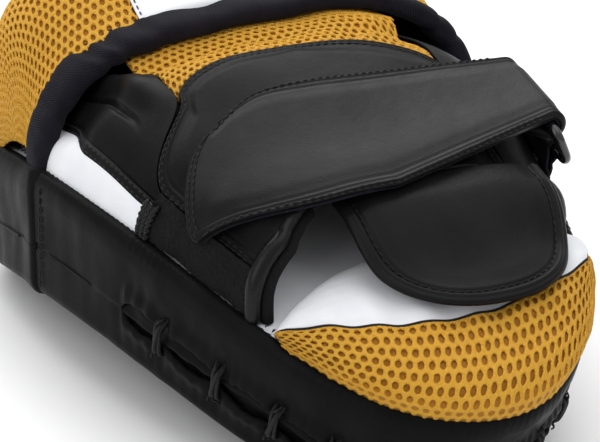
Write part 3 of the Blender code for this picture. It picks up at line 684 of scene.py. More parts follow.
def plastic():
    s = Shader("ring_plastic")
    colour = s.ramp(s.noise(120, 3), (0.3, (0.0045, 0.0045, 0.005)), (0.8, (0.009, 0.009, 0.010)))
    gloss = s.ramp(s.noise(260, 4), (0.3, 0.12), (0.8, 0.24))
    return s.done(colour, gloss, s.bump(s.noise(400, 2), 0.0003, 0.10), Specular_IOR_Level=0.5,
                  Coat_Weight=0.4, Coat_Roughness=0.08)


BLACK_TONES = (0.0050, 0.0050, 0.0053), (0.0080, 0.0080, 0.0085)
BLACK = leather("black_leather", *BLACK_TONES, (0.30, 0.42), specular=0.05)
WALL = leather("black_leather_wall", *BLACK_TONES, (0.26, 0.38), specular=0.025)
BLACK_UV = leather("black_leather_strap", (0.0050, 0.0050, 0.0055), (0.0082, 0.0083, 0.0090), (0.28, 0.40),
                   "UV", specular=0.09)
SHINY = leather("black_leather_piping", (0.004, 0.004, 0.0045), (0.008, 0.008, 0.009), (0.20, 0.32),
                grain=0.6, specular=0.18)
WHITE = leather("white_leather", (0.70, 0.71, 0.75), (0.77, 0.775, 0.80), (0.40, 0.55),
                grain=0.5, specular=0.3)
VELOUR = fuzzy("velour", (0.0012, 0.0012, 0.0012), (0.0105, 0.0105, 0.0105), 1300, 0.0007)
HOOK = fuzzy("hook_tape", (0.002, 0.002, 0.002), (0.012, 0.012, 0.012), 2200, 0.0005)
LINING = fuzzy("black_lining", (0.0022, 0.0022, 0.0024), (0.0080, 0.0080, 0.0088), 1700, 0.0003)
WEB = twill("binding_twill")
GOLD = knit("gold_net", (0.40, 0.145, 0.005), (0.80, 0.335, 0.016), (1.0, 0.60, 0.080))
UNDER = knit("mesh_backing", (0.07, 0.022, 0.002), (0.34, 0.120, 0.008), (0.80, 0.36, 0.040))
THREAD = thread_material("black_thread", (0.004, 0.004, 0.0045), (0.026, 0.026, 0.028))
CORD = thread_material("waxed_cord", (0.0035, 0.0035, 0.0038), (0.018, 0.018, 0.0195), 1500)
FOAM = fuzzy("foam", (0.30, 0.30, 0.28), (0.46, 0.46, 0.44), 900, 0.0004, roughness=0.9)
PLASTIC = plastic()


# ------------------------------------------------------------------ camera, light and floor

def camera():
    azimuth, elevation, roll = (math.radians(a) for a in (-28.722, 25.283, -4.34))
    back = Vector((math.sin(azimuth) * math.cos(elevation), -math.cos(azimuth) * math.cos(elevation),
                   math.sin(elevation)))
    right = Vector((math.cos(azimuth), math.sin(azimuth), 0))
    up = back.cross(right)
    x = right * math.cos(roll) - up * math.sin(roll)
    y = right * math.sin(roll) + up * math.cos(roll)
    matrix = Matrix((x, y, back)).transposed().to_4x4()
    matrix.translation = Vector((-0.021596, -0.033443 - CENTRE_Y, APEX)) + back * 0.861471
    data = bpy.data.cameras.new("camera")
    data.sensor_width = 36
    data.lens = 2416.13 / 600 * 36
    data.clip_start = 0.01
    item = bpy.data.objects.new("camera", data)
    bpy.context.scene.collection.objects.link(item)
    item.matrix_world = matrix
    bpy.context.scene.camera = item


def area(name, place, target, size, watts, size_y=None):
    data = bpy.data.lights.new(name, "AREA")
    data.shape = "RECTANGLE"
    data.size = size
    data.size_y = size_y or size
    data.energy = watts
    item = bpy.data.objects.new(name, data)
    item.location = place
    item.rotation_euler = (Vector(target) - Vector(place)).to_track_quat("-Z", "Y").to_euler()
    bpy.context.scene.collection.objects.link(item)


def studio():
    world = bpy.data.worlds.new("studio")
    bpy.context.scene.world = world
    world.use_nodes = True
    world.node_tree.nodes["Background"].inputs["Color"].default_value = (1.0, 1.0, 1.0, 1.0)
    world.node_tree.nodes["Background"].inputs["Strength"].default_value = 0.62
    area("key", (0.10, 0.85, 1.00), (0, 0, 0.06), 1.5, 12, 1.1)
    area("top", (0.25, -0.15, 1.15), (0, 0, 0.06), 1.4, 6.5)
    area("fill", (-1.0, -0.35, 0.75), (0, -0.03, 0.05), 1.0, 4)
    bpy.context.scene.view_settings.view_transform = "Standard"
    mesh = bpy.data.meshes.new("floor")
    side = 4.0
    corners = [(-side, -side, 0), (side, -side, 0), (side, side, 0), (-side, side, 0)]
    mesh.from_pydata(corners, [], [(0, 1, 2, 3)])
    floor = bpy.data.objects.new("floor", mesh)
    s = Shader("floor")
    pale = s.ramp(s.noise(3), (0.3, (0.93, 0.93, 0.935)), (0.7, (0.95, 0.95, 0.955)))
    mesh.materials.append(s.done(pale, 0.9, Specular_IOR_Level=0.0))
    bpy.context.scene.collection.objects.link(floor)


# ------------------------------------------------------------------ pad and walls

def slot_gap(angle):
    """Half the slot's opening at an outline angle."""
    end = np.minimum(angle - SLOT_NEAR, SLOT_FAR - angle)
    ends = 0.0012 + 0.0034 * np.sin(np.clip(math.pi * end / SLOT_END, 0, math.pi)) ** 0.6
    ends = ends * np.clip(end / 0.012, 0, 1) ** 0.5
    open_part = np.abs(np.sin(math.pi * (angle - TIE_FIRST) / TIE_STEP))
    middle = 0.0012 + 0.0035 * open_part ** 0.8
    gap = np.where(end < SLOT_END, ends, middle)
    return np.where(end <= 0, 0.0, gap)


def wall_grid(angles, slotted):
    """Points of the wall from its rim to its hem, with the slot's lips turned in."""
    gap = slot_gap(angles) if slotted else angles * 0
    curl = np.minimum(gap / 0.0012, 1.0) * 0.0012
    rows_o, rows_w = [], []
    # the padded roll of the rim: how far out from the outline, and how far up from the back
    rim = ((-0.0042, -0.0008), (-0.0036, 0.0008), (-0.0022, 0.0018), (-0.0004, 0.0021), (0.0013, 0.0015),
           (0.0027, 0.0001), (0.0035, -0.0024), (0.0039, -0.0060))
    for o, w in rim:
        rows_o.append(angles * 0 + o)
        rows_w.append(angles * 0 + w)
    lip_w = SLOT_W + gap
    for t in span(0.06, 1.0, 22):
        w = rim[-1][1] + (lip_w + curl - rim[-1][1]) * t
        rows_o.append(0.0039 - 0.0007 * t + 0.0011 * gap / 0.0042 * smooth((t - 0.6) / 0.4))
        rows_w.append(w)
    lip_o = rows_o[-1]
    for a in (30, 60, 90, 130, 170):
        t = math.radians(a)
        rows_o.append(lip_o - curl * (1 - math.cos(t)))
        rows_w.append(lip_w + curl - curl * math.sin(t))
    upper = len(rows_o)
    low_w = SLOT_W - gap
    hem_w = -THICKNESS + 0.0045
    for a in (170, 130, 90, 60, 30):
        t = math.radians(a)
        rows_o.append(lip_o - curl * (1 - math.cos(t)))
        rows_w.append(low_w - curl + curl * math.sin(t))
    for t in span(0, 1, 14):
        rows_o.append(lip_o + (0.0030 - lip_o) * smooth(t * 2))
        rows_w.append(low_w - curl + (hem_w - low_w + curl) * t)
    for o, w in ((0.0028, 0.0030), (0.0022, 0.0016), (0.0010, 0.0006), (-0.0006, 0.0001)):
        rows_o.append(angles * 0 + o)
        rows_w.append(angles * 0 - THICKNESS + w)
    o, w = np.array(rows_o), np.array(rows_w)
    a = np.broadcast_to(angles, o.shape)
    u, v = outline(a, o)
    p = bend(u, v, w)
    depth = -w / THICKNESS
    body = np.sin(np.clip(depth, 0, 1) * math.pi) ** 0.5
    d = 0.0014 * noise(p, 0.030, 1) * body
    d = d + 0.0008 * noise(p * np.array([1, 1, 0.35]), 0.009, 2) * body
    seam = hump(w, 0.0012, 0.0045)
    d += 0.00028 * seam * np.sin(arc(p, 1) * 2 * math.pi / 0.0034)
    if slotted:
        inslot = (angles > SLOT_NEAR) & (angles < SLOT_FAR)
        tie = np.abs(((angles - TIE_FIRST) / TIE_STEP + 0.5) % 1 - 0.5)
        pull = hump(tie, 0.0, 0.22) * inslot
        near = hump(np.abs(w - SLOT_W), TIE_REACH, 0.009)
        d += -0.0009 * pull * near
        d += 0.0007 * (1 - pull) * inslot * hump(np.abs(w - SLOT_W), 0.006, 0.008)
        fold = np.sin((a * 170) + noise(p, 0.02, 5) * 6)
        d += 0.00022 * fold * inslot * hump(np.abs(w - SLOT_W), 0.006, 0.012)
    p = push(p, d)
    p[..., 2] = np.maximum(p[..., 2], GROUND_GAP)
    return p, upper


def make_walls():
    """Wall in two lengths, with a stitched line beside each upright seam."""
    near = wall_angle(WALL_SEAM_V)
    far = 3 * math.pi - near
    lap = 0.0016 / HALF_WIDTH
    # the wrist wall runs just under the finger wall's turned edge at both seams
    angles = np.concatenate([span(near - lap * 0.6, SLOT_NEAR, 40)[:-1],
                             span(SLOT_NEAR, TIE_FIRST, 22)[:-1],
                             span(TIE_FIRST, TIE_LAST, 24 * (TIE_COUNT - 1) + 1)[:-1],
                             span(TIE_LAST, SLOT_FAR, 22)[:-1],
                             span(SLOT_FAR, far + lap * 0.6, 40)])
    p, upper = wall_grid(angles, True)
    grid("side_wall_wrist", np.transpose(p, (1, 0, 2)), WALL, "mitt", ["wall_wrist"],
         thick=0.0010, skip=[upper - 1], weld=0.00002)
    angles = span(far - 2 * math.pi - lap, near + lap, 260)
    p, upper = wall_grid(angles, False)
    edge = np.minimum(angles - angles[0], angles[-1] - angles) * HALF_WIDTH
    turned = 0.0011 * smooth(1.2 - edge / 0.006) - 0.0018 * hump(edge, 0, 0.0012)
    p = push(p, np.broadcast_to(turned, p.shape[:2]))
    p[..., 2] = np.maximum(p[..., 2], GROUND_GAP)
    grid("side_wall_finger", np.transpose(p, (1, 0, 2)), WALL, "mitt", ["wall_finger_end"],
         thick=0.0012, weld=0.00002)
    # stitched lines beside the two vertical seams
    lines = []
    for seam, side in ((near, 1), (far - 2 * math.pi, -1)):
        a = seam + side * lap * 1.9
        w = span(-0.0015, -THICKNESS + 0.003, 40)
        u, v = outline(np.full(40, a), 0.0040)
        q = bend(u, v, w)
        n = unit(bend(*outline(np.full(40, a), 0.010), w) - q)
        lines.append((q, n))
    sew("wall_seam_thread", lines, "mitt", 0.0036, 0.0029, 0.00032)


def make_rim_thread():
    """Overcast ticks where the rim meets the back."""
    angles = span(0, 2 * math.pi, 1400)
    d = distance(bend(*outline(angles, -0.0013), 0.0008))
    ticks = []
    for k, s in enumerate(np.arange(0.001, d[-1], 0.0034)):
        a = np.interp(s, d, angles)
        wander = 0.0004 * math.sin(k * 2.3)
        o = np.array([-0.0034, -0.0048, -0.0063 + wander])
        lean = np.array([0.0, 0.004, 0.009]) * (1 + 0.4 * math.sin(k * 1.7))
        u, v = outline(a + lean, o)
        path = bend(u, v, np.array([0.0021, 0.0021, 0.0022]))
        ticks.append((path, np.tile(unit(bend(u[:1], v[:1], 0.01) - path[:1]), (3, 1))))
    sew("rim_thread", ticks, "mitt", 0.0020, 0.0018, 0.00032)


def make_tongue():
    """Folded leather tongue seen through the slot's openings."""
    angles = span(SLOT_NEAR - 0.03, SLOT_FAR + 0.03, 420)
    t = span(-1, 1, 22)
    a, s = lattice(angles, t)
    fold = 0.0016 * np.exp(-((s - 0.25 * np.sin(a * 9)) / 0.16) ** 2) + 0.0008 * np.cos(s * 6)
    u, v = outline(a, 0.0013 + fold)
    p = bend(u, v, SLOT_W - s * 0.0085)
    p = push(p, 0.0010 * noise(p, 0.008, 8))
    grid("slot_tongue_leather", p, BLACK, "mitt", ["slot_tongue"], thick=0.0009)


def make_ties():
    """Each tie: turns of waxed cord crossed over the slot, with short tails at the slits."""
    for k, angle in enumerate(np.linspace(TIE_FIRST, TIE_LAST, TIE_COUNT)):
        here = bend(*outline(angle, 0.0036), SLOT_W)
        along = unit(bend(*outline(angle + 0.01, 0.0036), SLOT_W) - here)
        up = unit(bend(*outline(angle, 0.0036), SLOT_W + 0.001) - here)
        out = np.cross(along, up)
        meshes = []
        strands = ((-1.5, 1.2, 0.0), (0.2, -1.4, 0.7), (1.6, 0.4, 0.2), (-0.5, 0.6, 1.3))
        for low, high, lift in strands:
            t = span(0, math.pi, 18)
            reach = -np.cos(t) * (TIE_REACH + 0.0006)
            side = (low + (high - low) * smooth(t / math.pi)) * 0.0011
            height = 0.0002 + np.sin(t) ** 0.55 * (0.0012 + 0.0007 * lift) - 0.0022 * np.abs(np.cos(t)) ** 10
            path = here + up * reach[:, None] + along * side[:, None] + out * height[:, None]
            meshes.append(tube_mesh("strand", path, 0.00075, CORD, 8, up=out))
        for m in range(4):
            end = 1 if m % 2 else -1
            swing = math.sin(k * 3.1 + m * 2.2)
            t = span(0, 1, 8)
            reach = end * (TIE_REACH + 0.0003 + 0.0024 * t)
            side = (0.9 * (m - 1.5) + swing * 1.6 * t) * 0.0011
            height = 0.0006 + 0.0012 * np.sin(t * 2.6 + m)
            path = here + up * reach[:, None] + along * side[:, None] + out * height[:, None]
            meshes.append(tube_mesh("tail", path, 0.00050 * (1 - 0.5 * t), CORD, 6, up=out))
        bm = bmesh.new()
        for mesh in meshes:
            bm.from_mesh(mesh)
            bpy.data.meshes.remove(mesh)
        mesh = bpy.data.meshes.new(f"tie_cord_{k + 1}")
        bm.to_mesh(mesh)
        bm.free()
        finish_mesh(mesh, CORD)
        add(mesh.name, mesh, "mitt", [f"lace_tie_{k + 1}"])


def make_pad():
    """White face on the hand side and black face on the strike side."""
    inset = -0.0012
    v = -np.cos(span(0.02, math.pi - 0.02, 150)) * (HALF_LENGTH + inset)
    u = np.sin(span(-math.pi / 2, math.pi / 2, 110))[None] * half_width(v, inset)[:, None]
    v = np.broadcast_to(v[:, None], u.shape)
    edge = np.minimum(half_width(v, inset) - np.abs(u), HALF_LENGTH - np.abs(v))
    w = 0.0009 * smooth(edge / 0.006) - 0.0004
    p = bend(u, v, w)
    p = push(p, 0.0007 * noise(p, 0.035, 3))
    grid("back_leather", p, WHITE, "mitt", ["back_panel"], thick=0.0010)
    p = bend(u, v, -THICKNESS - 0.0002)
    p[..., 2] = np.maximum(p[..., 2], 0.0)
    grid("strike_leather", p, BLACK, "mitt", ["strike_cover"], thick=0.0012,
         inside=np.array([0, 0, 0.2]))


# ------------------------------------------------------------------ soft forms

def simulate(name, p, thickness, pinned, pressure=4.0, cap=0.004):
    """Inflate a closed form under cloth simulation; returns a tree of its surface."""
    rows, columns = p.shape[:2]
    n = normals(p)
    outer = p - n * 0.0010
    inner = p - n * thickness
    points = np.concatenate([outer.reshape(-1, 3), inner.reshape(-1, 3)])
    index = np.arange(rows * columns).reshape(rows, columns)
    count = rows * columns
    q = np.stack([index[:-1, :-1], index[:-1, 1:], index[1:, 1:], index[1:, :-1]], -1).reshape(-1, 4)
    faces = [tuple(f) for f in q] + [tuple(f[::-1] + count) for f in q]
    loop = list(index[0]) + list(index[1:, -1]) + list(index[-1, -2::-1]) + list(index[-2:0:-1, 0])
    for a, b in zip(loop, loop[1:] + loop[:1]):
        faces.append((b, a, a + count, b + count))
    mesh = bpy.data.meshes.new(name)
    mesh.from_pydata([tuple(x) for x in points], [], faces)
    bm = bmesh.new()
    bm.from_mesh(mesh)
    bmesh.ops.remove_doubles(bm, verts=bm.verts, dist=0.00002)
    bmesh.ops.recalc_face_normals(bm, faces=bm.faces)
    bm.to_mesh(mesh)
    bm.free()
    item = bpy.data.objects.new(name, mesh)
    bpy.context.scene.collection.objects.link(item)
    bpy.context.view_layer.update()
    remesh = item.modifiers.new("remesh", "REMESH")
    remesh.mode = "VOXEL"
    remesh.voxel_size = 0.0042
    graph = bpy.context.evaluated_depsgraph_get()
    soft = bpy.data.meshes.new_from_object(item.evaluated_get(graph))
    item.modifiers.clear()
    item.data = soft
    start = np.zeros(len(soft.vertices) * 3)
    soft.vertices.foreach_get("co", start)
    start = start.reshape(-1, 3)
    group = item.vertex_groups.new(name="pin")
    for i, weight in enumerate(pinned(start)):
        group.add([i], float(weight), "REPLACE")
    cloth = item.modifiers.new("cloth", "CLOTH")
    cloth.settings.use_pressure = True
    cloth.settings.uniform_pressure_force = pressure
    cloth.settings.effector_weights.gravity = 0
    cloth.settings.vertex_group_mass = "pin"
    cloth.settings.tension_stiffness = 22
    cloth.settings.compression_stiffness = 18
    cloth.settings.bending_stiffness = 1.2
    cloth.point_cache.frame_start = 1
    cloth.point_cache.frame_end = 20
    scene = bpy.context.scene
    for number in range(1, 21):
        scene.frame_set(number)
    graph = bpy.context.evaluated_depsgraph_get()
    result = item.evaluated_get(graph).to_mesh()
    end = np.zeros(len(result.vertices) * 3)
    result.vertices.foreach_get("co", end)
    end = end.reshape(-1, 3)
    move = end - start
    size = np.linalg.norm(move, axis=1, keepdims=True)
    end = start + move * np.minimum(1.0, cap / np.maximum(size, 1e-9))
    polygons = [tuple(f.vertices) for f in result.polygons]
    tree = BVHTree.FromPolygons([tuple(x) for x in end], polygons)
    item.evaluated_get(graph).to_mesh_clear()
    scene.frame_set(1)
    bpy.data.objects.remove(item, do_unlink=True)
    return tree


def swell(p, tree, low=-0.003, high=0.004, passes=3):
    """How far a simulated surface lies outside each point of a grid, smoothed."""
    n = normals(p)
    d = np.zeros(p.shape[:2])
    reach = 0.012
    for i in range(p.shape[0]):
        for j in range(p.shape[1]):
            origin = p[i, j] + n[i, j] * reach
            hit = tree.ray_cast(Vector(origin), Vector(-n[i, j]), 2 * reach)
            d[i, j] = reach - hit[3] if hit[0] is not None else 0.0
    d = np.clip(d, low, high)
    for _ in range(passes):
        e = np.pad(d, 1, mode="edge")
        d = (e[:-2, 1:-1] + e[2:, 1:-1] + e[1:-1, :-2] + e[1:-1, 2:] + 4 * d) / 8
    return d


def puff(p, trees, name, low, high):
    """swell() of a simulated form, or nothing where the simulation is skipped."""
    return swell(p, trees[name], low, high) if name in trees else np.zeros(p.shape[:2])


def seam_line(p, fraction_rows, fraction_columns, lift=0.0, inside=CORE):
    """Points and normals on a grid along a line given in fractions of its rows and columns."""
    n = normals(p, inside)
    i = np.asarray(fraction_rows) * (p.shape[0] - 1)
    j = np.asarray(fraction_columns) * (p.shape[1] - 1)
    i, j = np.broadcast_arrays(i, j)
    i0 = np.clip(np.floor(i).astype(int), 0, p.shape[0] - 2)
    j0 = np.clip(np.floor(j).astype(int), 0, p.shape[1] - 2)
    f, g = (i - i0)[:, None], (j - j0)[:, None]

    def pick(t):
        return ((t[i0, j0] * (1 - g) + t[i0, j0 + 1] * g) * (1 - f)
                + (t[i0 + 1, j0] * (1 - g) + t[i0 + 1, j0 + 1] * g) * f)
    normal = unit(pick(n))
    return pick(p) + normal * lift, normal


def make_hood(trees):
    """Hood: mesh sides and plain centre panel, each side with its backing, and the lining."""
    seam = HOOD_CENTRE
    lines = []
    for name, first, last in (("near", seam, 2), ("centre", seam, 180 - seam), ("far", 180 - seam, 178)):
        o, a = lattice(90 * span(0, 1, 90) ** 0.9, span(first, last, 120))
        p = hood(a, o, 0.0, BINDING * 0.6)
        d = puff(p, trees, "hood", -0.001, 0.003)
        # seams pull in beside the centre panel and at the rim
        for s in (seam, 180 - seam):
            d -= 0.0012 * hump(a, s, 4.5)
        d += 0.0008 * noise(p, 0.030, 4) * smooth(o / 15)
        d += 0.0055 * hump(o, 36, 34) * hump(np.minimum(a, 180 - a), 40, 28)
        d -= 0.0010 * smooth((o - 86) / 4)
        p = push(p, d)
        if name == "centre":
            d = 0.0006 + 0.0004 * hump(np.minimum(a - seam, 180 - seam - a), 1.8, 1.2)
            p = push(p, d)
            grid("hood_centre_leather", p, WHITE, "mitt", ["hood_centre_panel"],
                 thick=0.0010)
            for f in (0.022, 0.978):
                lines.append(seam_line(p, span(0, 0.96, 60), np.full(60, f)))
        else:
            net(f"hood_net_{name}", Chart(p), GOLD, "mitt", [f"hood_mesh_{name}"])
            under = push(p, np.full(p.shape[:2], -0.0009))
            grid(f"hood_backing_{name}", under[::2, ::2], UNDER, "mitt", (), thick=0.0006)
    sew("hood_thread", lines, "mitt", 0.0034, 0.0027, 0.00028)
    a, o = lattice(span(2, 178, 120), span(0, 90, 60))
    p = hood(a, o, 0.0057, BINDING)
    p = push(p, 0.0010 * noise(p, 0.020, 6))
    grid("hood_lining_cloth", p, LINING, "mitt", ["hood_lining", "hood_foam"], thick=0.0010)


def make_binding():
    """Wide woven tape folded over the hood's mouth."""
    across = span(0.5, 179.5, 420)
    t = span(0, 2 * math.pi, 49)[:-1]
    a, s = lattice(across, t)
    c, n = np.cos(s), np.sin(s)
    along = 0.0052 + 0.0070 * power(c, 0.6)
    depth = 0.0030 - 0.0042 * power(n, 0.75)
    rough = noise(hood(a, 0, 0.003, 0.0055), 0.016, 9)
    depth = depth + 0.0011 * rough
    p = hood(a, 0, depth, along)
    # creases where the tape turns up from the rim
    creases = ((50, 1.0), (57, 0.9), (24, 0.4), (68, 0.5), (84, 0.3), (112, 0.4), (140, 0.9), (151, 0.7))
    for place, size in creases:
        wave = hump(a + 4.0 * c, place, 4.5)
        p = push(p, -0.0012 * size * wave)
    d = arc(p[:, :1], 0)[:, 0]
    uv = np.stack(np.broadcast_arrays(d[:, None], (t * 0.0050)[None]), -1)
    item = grid("hood_binding_tape", p, WEB, "mitt", ["hood_binding"], thick=0, wrap=True, uv=uv)
    bm = bmesh.new()
    bm.from_mesh(item.data)
    for row in (0, len(across) - 1):
        bm.verts.ensure_lookup_table()
        bm.faces.new([bm.verts[row * len(t) + k] for k in range(len(t))])
    bmesh.ops.recalc_face_normals(bm, faces=bm.faces)
    bm.to_mesh(item.data)
    bm.free()


def shaped(angle, v, trees, extra):
    """The glove's surface raised by extra and by its simulated padding."""
    p = glove(angle, v)
    return push(p, extra * np.ones(p.shape[:2]) + puff(p, trees, "glove", -0.001, 0.0025))


def make_gussets():
    """White leather from under the side panels down to the rim."""
    for name, turn in (("near", lambda a: a), ("far", lambda a: 180 - a)):
        t, v = lattice(span(0, 1, 36), span(PATCH_V - 0.003, FRONT_V, 120))
        top = glove(turn(np.full(t.shape, GUSSET_ANGLE + 1.5)), v, 0.0006)
        side = -1 if name == "near" else 1
        foot = bend(side * (half_width(v) - 0.0012), v, 0.0002)
        knee = bend(side * (half_width(v) - 0.0020), v, 0.0125)
        t3 = t[..., None]
        p = foot * (1 - t3) ** 2 + knee * 2 * t3 * (1 - t3) + top * t3 ** 2
        p = push(p, 0.0008 * noise(p, 0.03, 12))
        grid(f"gusset_leather_{name}", p, WHITE, "mitt", [f"gusset_{name}"], thick=0.0010)


def make_side_near(trees, lines):
    """Near side panel with its rolled fold and turned, double-stitched lower edge."""
    t, v = lattice(span(0, 1, 90), span(PATCH_V, FRONT_V, 130))
    angle = GUSSET_ANGLE + (cuff_angle(v) - 0.8 - GUSSET_ANGLE) * t
    rise = (angle - GUSSET_ANGLE)
    d = 0.0009 * (1 - smooth((rise - 5.2) / 1.0)) - 0.0006 * hump(rise, 5.9, 0.8)
    fold = hump(t, 0.86 - 0.10 * smooth(v / 0.05), 0.20)
    d += 0.0040 * fold * smooth((v + 0.008) / 0.03)
    crease = 0.60 - 0.10 * smooth(v / 0.05)
    d -= 0.0020 * hump(t, crease, 0.06) * smooth((v + 0.004) / 0.02)
    p = shaped(angle, v, trees, d)
    p = push(p, 0.0005 * noise(p, 0.030, 14))
    lines.append(seam_line(p, np.interp(span(0.45, 0.95, 80) * 129, np.arange(130), crease[0]) - 0.02,
                           span(0.45, 0.95, 80)))
    grid("side_leather_near", p, BLACK, "mitt", ["side_panel_near"], thick=0.0011)
    for part in (2.0, 4.7):
        f = part / (cuff_angle(v[0]) - GUSSET_ANGLE - 0.8)
        lines.append(seam_line(p, f, span(0, 1, 130)))


def make_side_far(trees, lines):
    """Far side panel, and the leather from it to the wrist mouth."""
    t, v = lattice(span(0, 1, 60), span(PATCH_V, FRONT_V, 110))
    angle = 180 - CUFF_ANGLE + 0.6 + (CUFF_ANGLE - GUSSET_ANGLE - 1.0) * t
    p = shaped(angle, v, trees, 0.0012 * (1 - smooth((180 - GUSSET_ANGLE - angle - 4) / 1.2)))
    p = push(p, 0.0010 * noise(p, 0.022, 15))
    grid("side_leather_far", p, BLACK, "mitt", ["side_panel_far"], thick=0.0011)
    for f in (0.91, 0.985):
        lines.append(seam_line(p, np.full(110, f), span(0, 1, 110)))
    angle, s = lattice(span(180 - CUFF_ANGLE + 0.6, 178, 70), span(0, 1, 50))
    v = mouth_v(angle) + (PATCH_V + 0.0006 - mouth_v(angle)) * s
    p = shaped(angle, v, trees, 0.0008 * noise(glove(angle, v), 0.02, 16))
    grid("side_leather_wrist", p, BLACK, "mitt", (), thick=0.0011)
    lines.append(seam_line(p, span(0, 1, 90), np.full(90, 0.08)))


def make_hand_back(trees, lines):
    """Hand-back panel: flat stitched border, padded middle."""
    s, t = lattice(span(0, 1, 150), span(0, 1, 150))
    near_edge = np.full(150, float(CUFF_ANGLE))
    for _ in range(12):
        v_edge = mouth_v(near_edge) + (0.004 - mouth_v(near_edge)) * span(0, 1, 150)
        near_edge = (near_edge + cuff_angle(v_edge)) / 2
    angle = near_edge[:, None] + (180 - CUFF_ANGLE - near_edge[:, None]) * t
    v = mouth_v(angle) + (knuckle_v(np.maximum(angle, CUFF_ANGLE)) - mouth_v(angle)) * s
    base = glove(angle, v)
    from_near = arc(base, 1)
    from_far = from_near[:, -1:] - from_near
    up_row = arc(base, 0)
    from_front = up_row[-1:] - up_row
    edge = np.minimum(np.minimum(from_near, from_far), from_front)
    d = 0.0016 * smooth((edge - 0.0062) / 0.010) + 0.0006 * smooth(edge / 0.0012) - 0.0004
    for q in HAND_BACK_ROWS:
        d -= 0.00045 * hump(edge, q, 0.0011)
    p = shaped(angle, v, trees, d)
    p = push(p, 0.0012 * noise(p, 0.028, 17))
    grid("hand_back_leather", p, BLACK, "mitt", ["hand_back_panel"], thick=0.0014)
    for q in HAND_BACK_ROWS:
        rows = span(0.06, 1 - q / float(up_row[-1].mean()), 120)
        width = np.interp(rows * 149, np.arange(150), from_near[:, -1])
        lines.append(seam_line(p, rows, q / width))
        columns = span(q / 0.09, 1 - q / 0.09, 150)
        height = np.interp(columns * 149, np.arange(150), up_row[-1])
        lines.append(seam_line(p, 1 - q / height, columns))
        lines.append(seam_line(p, rows, 1 - q / width))


def make_knuckles(trees):
    """Knuckle mesh, gathered into soft folds."""
    t, s = lattice(span(0, 1, 120), span(0, 1, 170))
    angle = CUFF_ANGLE + 0.3 + (180 - 2 * CUFF_ANGLE - 0.6) * s
    v = knuckle_v(angle) - 0.002 + (FRONT_V + 0.010 - knuckle_v(angle)) * t
    base = glove(angle, v)
    wander = noise(base, 0.030, 20) * 2.4
    fold = np.sin(((v - 0.018) / 0.0105 + wander) * 2 * math.pi * 0.8)
    d = -0.0012 + 0.0016 * fold * smooth((v - 0.016) / 0.012) + 0.0020 * noise(base, 0.016, 21)
    p = shaped(angle, v, trees, d)
    # the mesh swells up against the inside of the hood
    c, sine = np.cos(np.radians(angle)), np.sin(np.radians(angle))
    e = 2 / HOOD_SQUARENESS
    under_hood = bend(-power(c, e) * 0.0850, v, 0.0006 + 0.0485 * sine ** e - hood_sag(angle, v))
    p = p + (under_hood - p) * smooth((v - 0.022) / 0.018)[..., None]
    p = push(p, 0.0012 * noise(base, 0.014, 27))
    net("knuckle_net", Chart(p), GOLD, "mitt", ["knuckle_mesh"], pitch=0.0036)
    grid("knuckle_backing", push(p, np.full(p.shape[:2], -0.0009))[::2, ::2], UNDER, "mitt", (),
         thick=0.0006)


def make_patch(lines):
    """Loop patch, and the folded strip at the gusset's wrist end."""
    t, s = lattice(span(0, 1, 130), span(0, 1, 130))
    angle = 1.5 + (cuff_angle(PATCH_V) - 1.5) * t
    v = mouth_v(angle) + (PATCH_V + 0.0004 - mouth_v(angle)) * s
    p = glove(angle, v)
    p = push(p, 0.0004 + 0.0014 * noise(p, 0.018, 22) + 0.00045 * noise(p, 0.0011, 23))
    grid("loop_patch_pile", p, VELOUR, "mitt", ["loop_patch"], thick=0.0012)
    up = bend(0, PATCH_V, 1.0) - bend(0, PATCH_V, 0.0)
    for k, shift in enumerate((-0.0030, -0.0008, 0.0014)):
        a = span(1.5, 18, 90)
        path = glove(a, PATCH_V + shift + 0.00025 * np.sin(a * 2.1 + k * 2), -0.0010)
        mesh = tube_mesh(f"patch_fold_{k + 1}", path, 0.0014, SHINY, 14, up, 0.8)
        add(mesh.name, mesh, "mitt")
        n = unit(path - glove(a, PATCH_V, 0.01))
        lines.append((path + n * 0.0012, n))


def make_glove_lining():
    """Cloth inside the glove."""
    angle, s = lattice(span(2, 178, 130), span(0, 1, 90))
    v = mouth_v(angle) + 0.001 + (FRONT_V - mouth_v(angle) - 0.002) * s
    p = glove(angle, v, 0.0058)
    p = push(p, 0.0008 * noise(p, 0.02, 24) + 0.0003 * noise(p, 0.0016, 25))
    grid("glove_lining_cloth", p, LINING, "mitt", ["glove_lining", "glove_padding"],
         thick=0.0010)


def make_glove(trees):
    """Glove: gussets, panels, knuckle mesh, loop patch, their stitching and the lining."""
    lines = []
    make_gussets()
    make_side_near(trees, lines)
    make_side_far(trees, lines)
    make_hand_back(trees, lines)
    make_knuckles(trees)
    make_patch(lines)
    sew("glove_thread", lines)
    make_glove_lining()


def make_piping():
    """Rolled edges of the wrist mouth."""
    for name, first, last, count in (("near", 0.3, 64, 150), ("far", 179.7, 128, 110)):
        a = span(first, last, count)
        for k, (depth, back, radius) in enumerate(((0.0016, -0.0012, 0.0032), (0.0056, 0.0006, 0.0022))):
            path = glove(a, mouth_v(a) - back, depth)
            size = radius * (1 + 0.10 * noise(path, 0.009, 30 + k))
            mesh = tube_mesh(f"mouth_roll_{name}_{k + 1}", path, size, SHINY if k == 0 else LINING, 18)
            add(mesh.name, mesh, "mitt", [f"mouth_piping_{name}"] if k == 0 else ())


def cushion_far(u):
    """0 on the cushion's near side, rising to 1 where its far end is fuller."""
    return smooth((u - 0.008) / 0.040)


